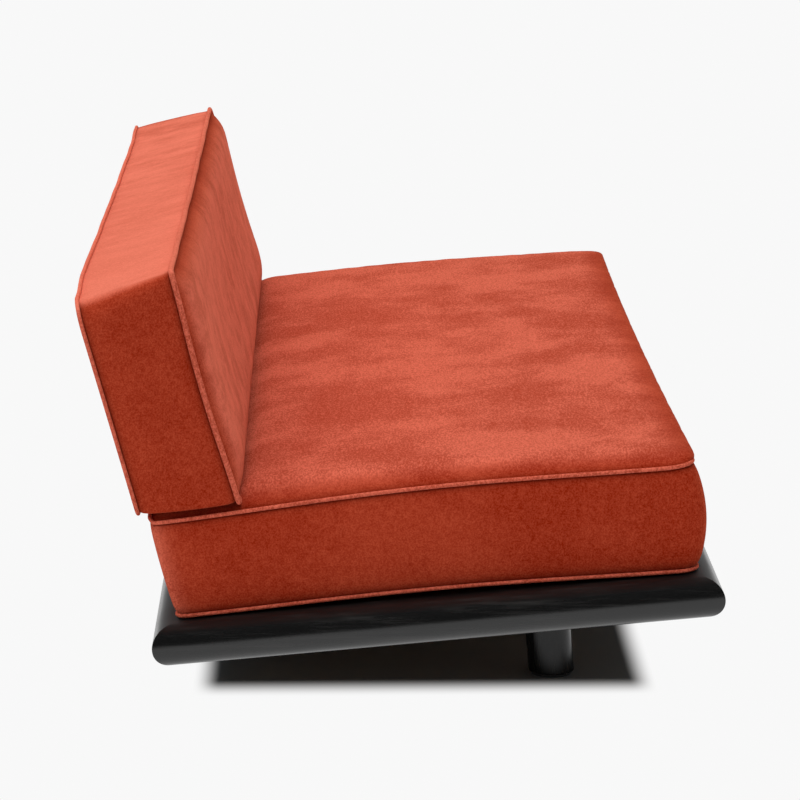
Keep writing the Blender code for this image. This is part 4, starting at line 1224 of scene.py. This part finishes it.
class SOFA_OT_zips(bpy.types.Operator):
    """Makes the zip in the rear boxing of the seat and in the lower boxing of the back"""

    bl_idname = "sofa.zips"
    bl_label = "Zips"

    def execute(self, context):
        sizes = context.scene.sofa_cushions
        finish = zip_weave(context.scene.sofa_colours)
        plan = {"seat_zip": (seat_cushion(sizes), 1.0), "back_zip": (back_cushion(sizes), -1.0)}
        for node, (cushion, edge) in plan.items():
            low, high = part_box(node)
            reach = max(abs(low[0]), abs(high[0]))
            mesh = surface_mesh(f"{node}_tape", *self.tape(cushion, edge, reach))
            add_piece(f"{node}_tape", mesh, finish, cushion.body, "zip_tape", node)
        return {"FINISHED"}

    def tape(self, cushion, edge, reach):
        """Tape and teeth on a grid along an edge's boxing, closed by a back just inside the boxing.

        The teeth stand out by a cosine of half turns, so that they step out and in along the zip.
        """
        half = np.array(ZIP_SECTION) * MILLIMETRE
        height, proud = np.concatenate((half[:0:-1] * (-1.0, 1.0), half)).T
        teeth = 1 + ZIP_TOOTH * np.cos(np.arange(ZIP_STATIONS) * math.pi)
        along = np.linspace(-reach, reach, ZIP_STATIONS)[:, None] / cushion.half_length
        through = height / ((cushion.high_panel[0] - cushion.low_panel[0]) / 2)
        outer = cushion.points(along, edge, through)
        outer[..., 1] += edge * proud * np.where(np.abs(height) < ZIP_TEETH, teeth[:, None], 1.0)
        inner = cushion.points(along, edge, through[::-1])
        inner[..., 1] -= edge * ZIP_BACK
        loop = np.concatenate((outer, inner), axis=1)
        return cushion.places(loop), grid_faces(*loop.shape[:2], closed_columns=True)


# Stage

FLOOR_HALF = 14.0
# painted shadow: the floor's darker, slightly blue colour under the sofa, laid over its real shade
PAINTED_SHADOW = (0.195, 0.215, 0.228)
SHADE_X = (0.885, 0.99)  # where the painted shadow under the sofa starts to fade along X, and where it ends
SHADE_Y = (0.325, 0.370)  # the same along Y, from the middle of the painted shadow
SHADE_MIDDLE = -0.0425
STUDIO_DARK = (0.03, 0.03, 0.03)
STUDIO_EDGE = (0.25, 0.85)  # how far along X a direction points where the dark side ends
LAMP_SPREAD = math.radians(85.0)
LAMP_TURN = (math.radians(-9.0), math.radians(-5.0), 0.0)
SENSOR_WIDTH = 36.0


def pale_floor(colour):
    """Pale floor that is plain to the eye away from the sofa; under it, it takes real light and shade and is
    painted darker as a painted shadow.
    """
    finish = Finish("pale_floor")
    place = finish.node("ShaderNodeSeparateXYZ", None, {0: finish.places()})
    off_x = finish.contrast(Number(finish, place.outputs["X"]).size(), *SHADE_X)
    off_y = finish.contrast((Number(finish, place.outputs["Y"]) - SHADE_MIDDLE).size(), *SHADE_Y)
    # mask of the painted shadow: 1 under the sofa, where the floor shows real shade and is painted darker
    near = (1.0 - off_x) * (1.0 - off_y)
    seen = finish.rays("Is Camera Ray", "Is Glossy Ray", "Is Transmission Ray")
    # painted shadow: a darker colour under the sofa, seen by the camera and in reflections
    painted_shadow_colour = finish.blend(near * seen, colour, PAINTED_SHADOW)
    matt = finish.node("ShaderNodeBsdfDiffuse", None, {"Color": painted_shadow_colour})
    plain = finish.node("ShaderNodeEmission", None, {"Color": (*colour, 1.0), "Strength": 1.0})
    inputs = {0: seen * (1.0 - near), 1: matt.outputs[0], 2: plain.outputs[0]}
    return finish.end(finish.node("ShaderNodeMixShader", None, inputs))


def studio_sky(pale, strength):
    """Light from all round and a plain pale background, with a dark side to the studio in reflections."""
    finish = Finish("studio", sky=True)
    way = finish.node("ShaderNodeTexCoord").outputs["Generated"]
    onward = Number(finish, finish.node("ShaderNodeSeparateXYZ", None, {0: way}).outputs["X"])
    mirrored = finish.blend(finish.contrast(onward, *STUDIO_EDGE), STUDIO_DARK, pale)
    lit = finish.blend(finish.rays("Is Glossy Ray"), (strength,) * 3, mirrored)
    colour = finish.blend(finish.rays("Is Camera Ray", "Is Transmission Ray"), lit, pale)
    return finish.end(finish.node("ShaderNodeBackground", None, {"Color": colour, "Strength": 1.0}))


class SOFA_OT_stage(bpy.types.Operator):
    """Sets up the floor, the light and the camera"""

    bl_idname = "sofa.stage"
    bl_label = "Stage"

    def execute(self, context):
        scene = context.scene
        stage = scene.sofa_stage
        pale = tuple(scene.sofa_colours.floor)
        scene.view_settings.view_transform = "Standard"
        self.add_floor(scene, pale)
        scene.world = studio_sky(pale, stage.sky_strength)
        self.add_lamp(scene, stage)
        self.add_camera(scene, stage)
        return {"FINISHED"}

    def add_floor(self, scene, pale):
        """Adds one wide square."""
        signs = ((-1, -1), (1, -1), (1, 1), (-1, 1))
        mesh = bpy.data.meshes.new("floor")
        mesh.from_pydata([(FLOOR_HALF * x, FLOOR_HALF * y, 0.0) for x, y in signs], [], [(0, 1, 2, 3)])
        mesh.materials.append(pale_floor(pale))
        floor = bpy.data.objects.new("floor", mesh)
        scene.collection.objects.link(floor)

    def add_lamp(self, scene, stage):
        """Adds a wide soft lamp overhead, which the lacquer doesn't mirror."""
        lamp = bpy.data.lights.new("overhead_lamp", "SUN")
        lamp.energy = stage.lamp_strength
        lamp.angle = LAMP_SPREAD
        overhead = bpy.data.objects.new("overhead_lamp", lamp)
        overhead.rotation_euler = LAMP_TURN
        overhead.visible_glossy = False
        scene.collection.objects.link(overhead)

    def add_camera(self, scene, stage):
        """Adds the camera that the scene is seen through."""
        view = bpy.data.cameras.new("photo_camera")
        view.lens = stage.lens
        view.sensor_width = SENSOR_WIDTH
        camera = bpy.data.objects.new("photo_camera", view)
        camera.location = stage.camera_place
        camera.rotation_euler = stage.camera_turn
        scene.collection.objects.link(camera)
        scene.camera = camera


PIECE_OPERATORS = (
    SOFA_OT_stage,
    SOFA_OT_rails,
    SOFA_OT_legs,
    SOFA_OT_plain_timber,
    SOFA_OT_metalwork,
    SOFA_OT_seat,
    SOFA_OT_back,
    SOFA_OT_piping,
    SOFA_OT_zips,
)


class SOFA_PT_sidebar(bpy.types.Panel):
    """Lists the pieces of the sofa"""

    bl_idname = "SOFA_PT_sidebar"
    bl_label = "Sofa"
    bl_space_type = "VIEW_3D"
    bl_region_type = "UI"
    bl_category = "Sofa"

    def draw(self, context):
        for operator in PIECE_OPERATORS:
            self.layout.operator(operator.bl_idname)


SETTINGS = {
    "sofa_timber": SofaTimberSettings,
    "sofa_cushions": SofaCushionSettings,
    "sofa_colours": SofaColourSettings,
    "sofa_stage": SofaStageSettings,
}


def register():
    """Registers the settings, the operators and the panel."""
    for name, group in SETTINGS.items():
        bpy.utils.register_class(group)
        setattr(bpy.types.Scene, name, bpy.props.PointerProperty(type=group))
    for operator in PIECE_OPERATORS:
        bpy.utils.register_class(operator)
    bpy.utils.register_class(SOFA_PT_sidebar)


def unregister():
    """Takes back what register added."""
    bpy.utils.unregister_class(SOFA_PT_sidebar)
    for operator in reversed(PIECE_OPERATORS):
        bpy.utils.unregister_class(operator)
    for name, group in reversed(SETTINGS.items()):
        delattr(bpy.types.Scene, name)
        bpy.utils.unregister_class(group)


def main():
    """Makes every piece in order."""
    register()
    bpy.ops.sofa.stage()
    bpy.ops.sofa.rails()
    bpy.ops.sofa.legs()
    bpy.ops.sofa.plain_timber()
    bpy.ops.sofa.metalwork()
    bpy.ops.sofa.seat()
    bpy.ops.sofa.back()
    bpy.ops.sofa.piping()
    bpy.ops.sofa.zips()


if __name__ == "__main__":
    main()
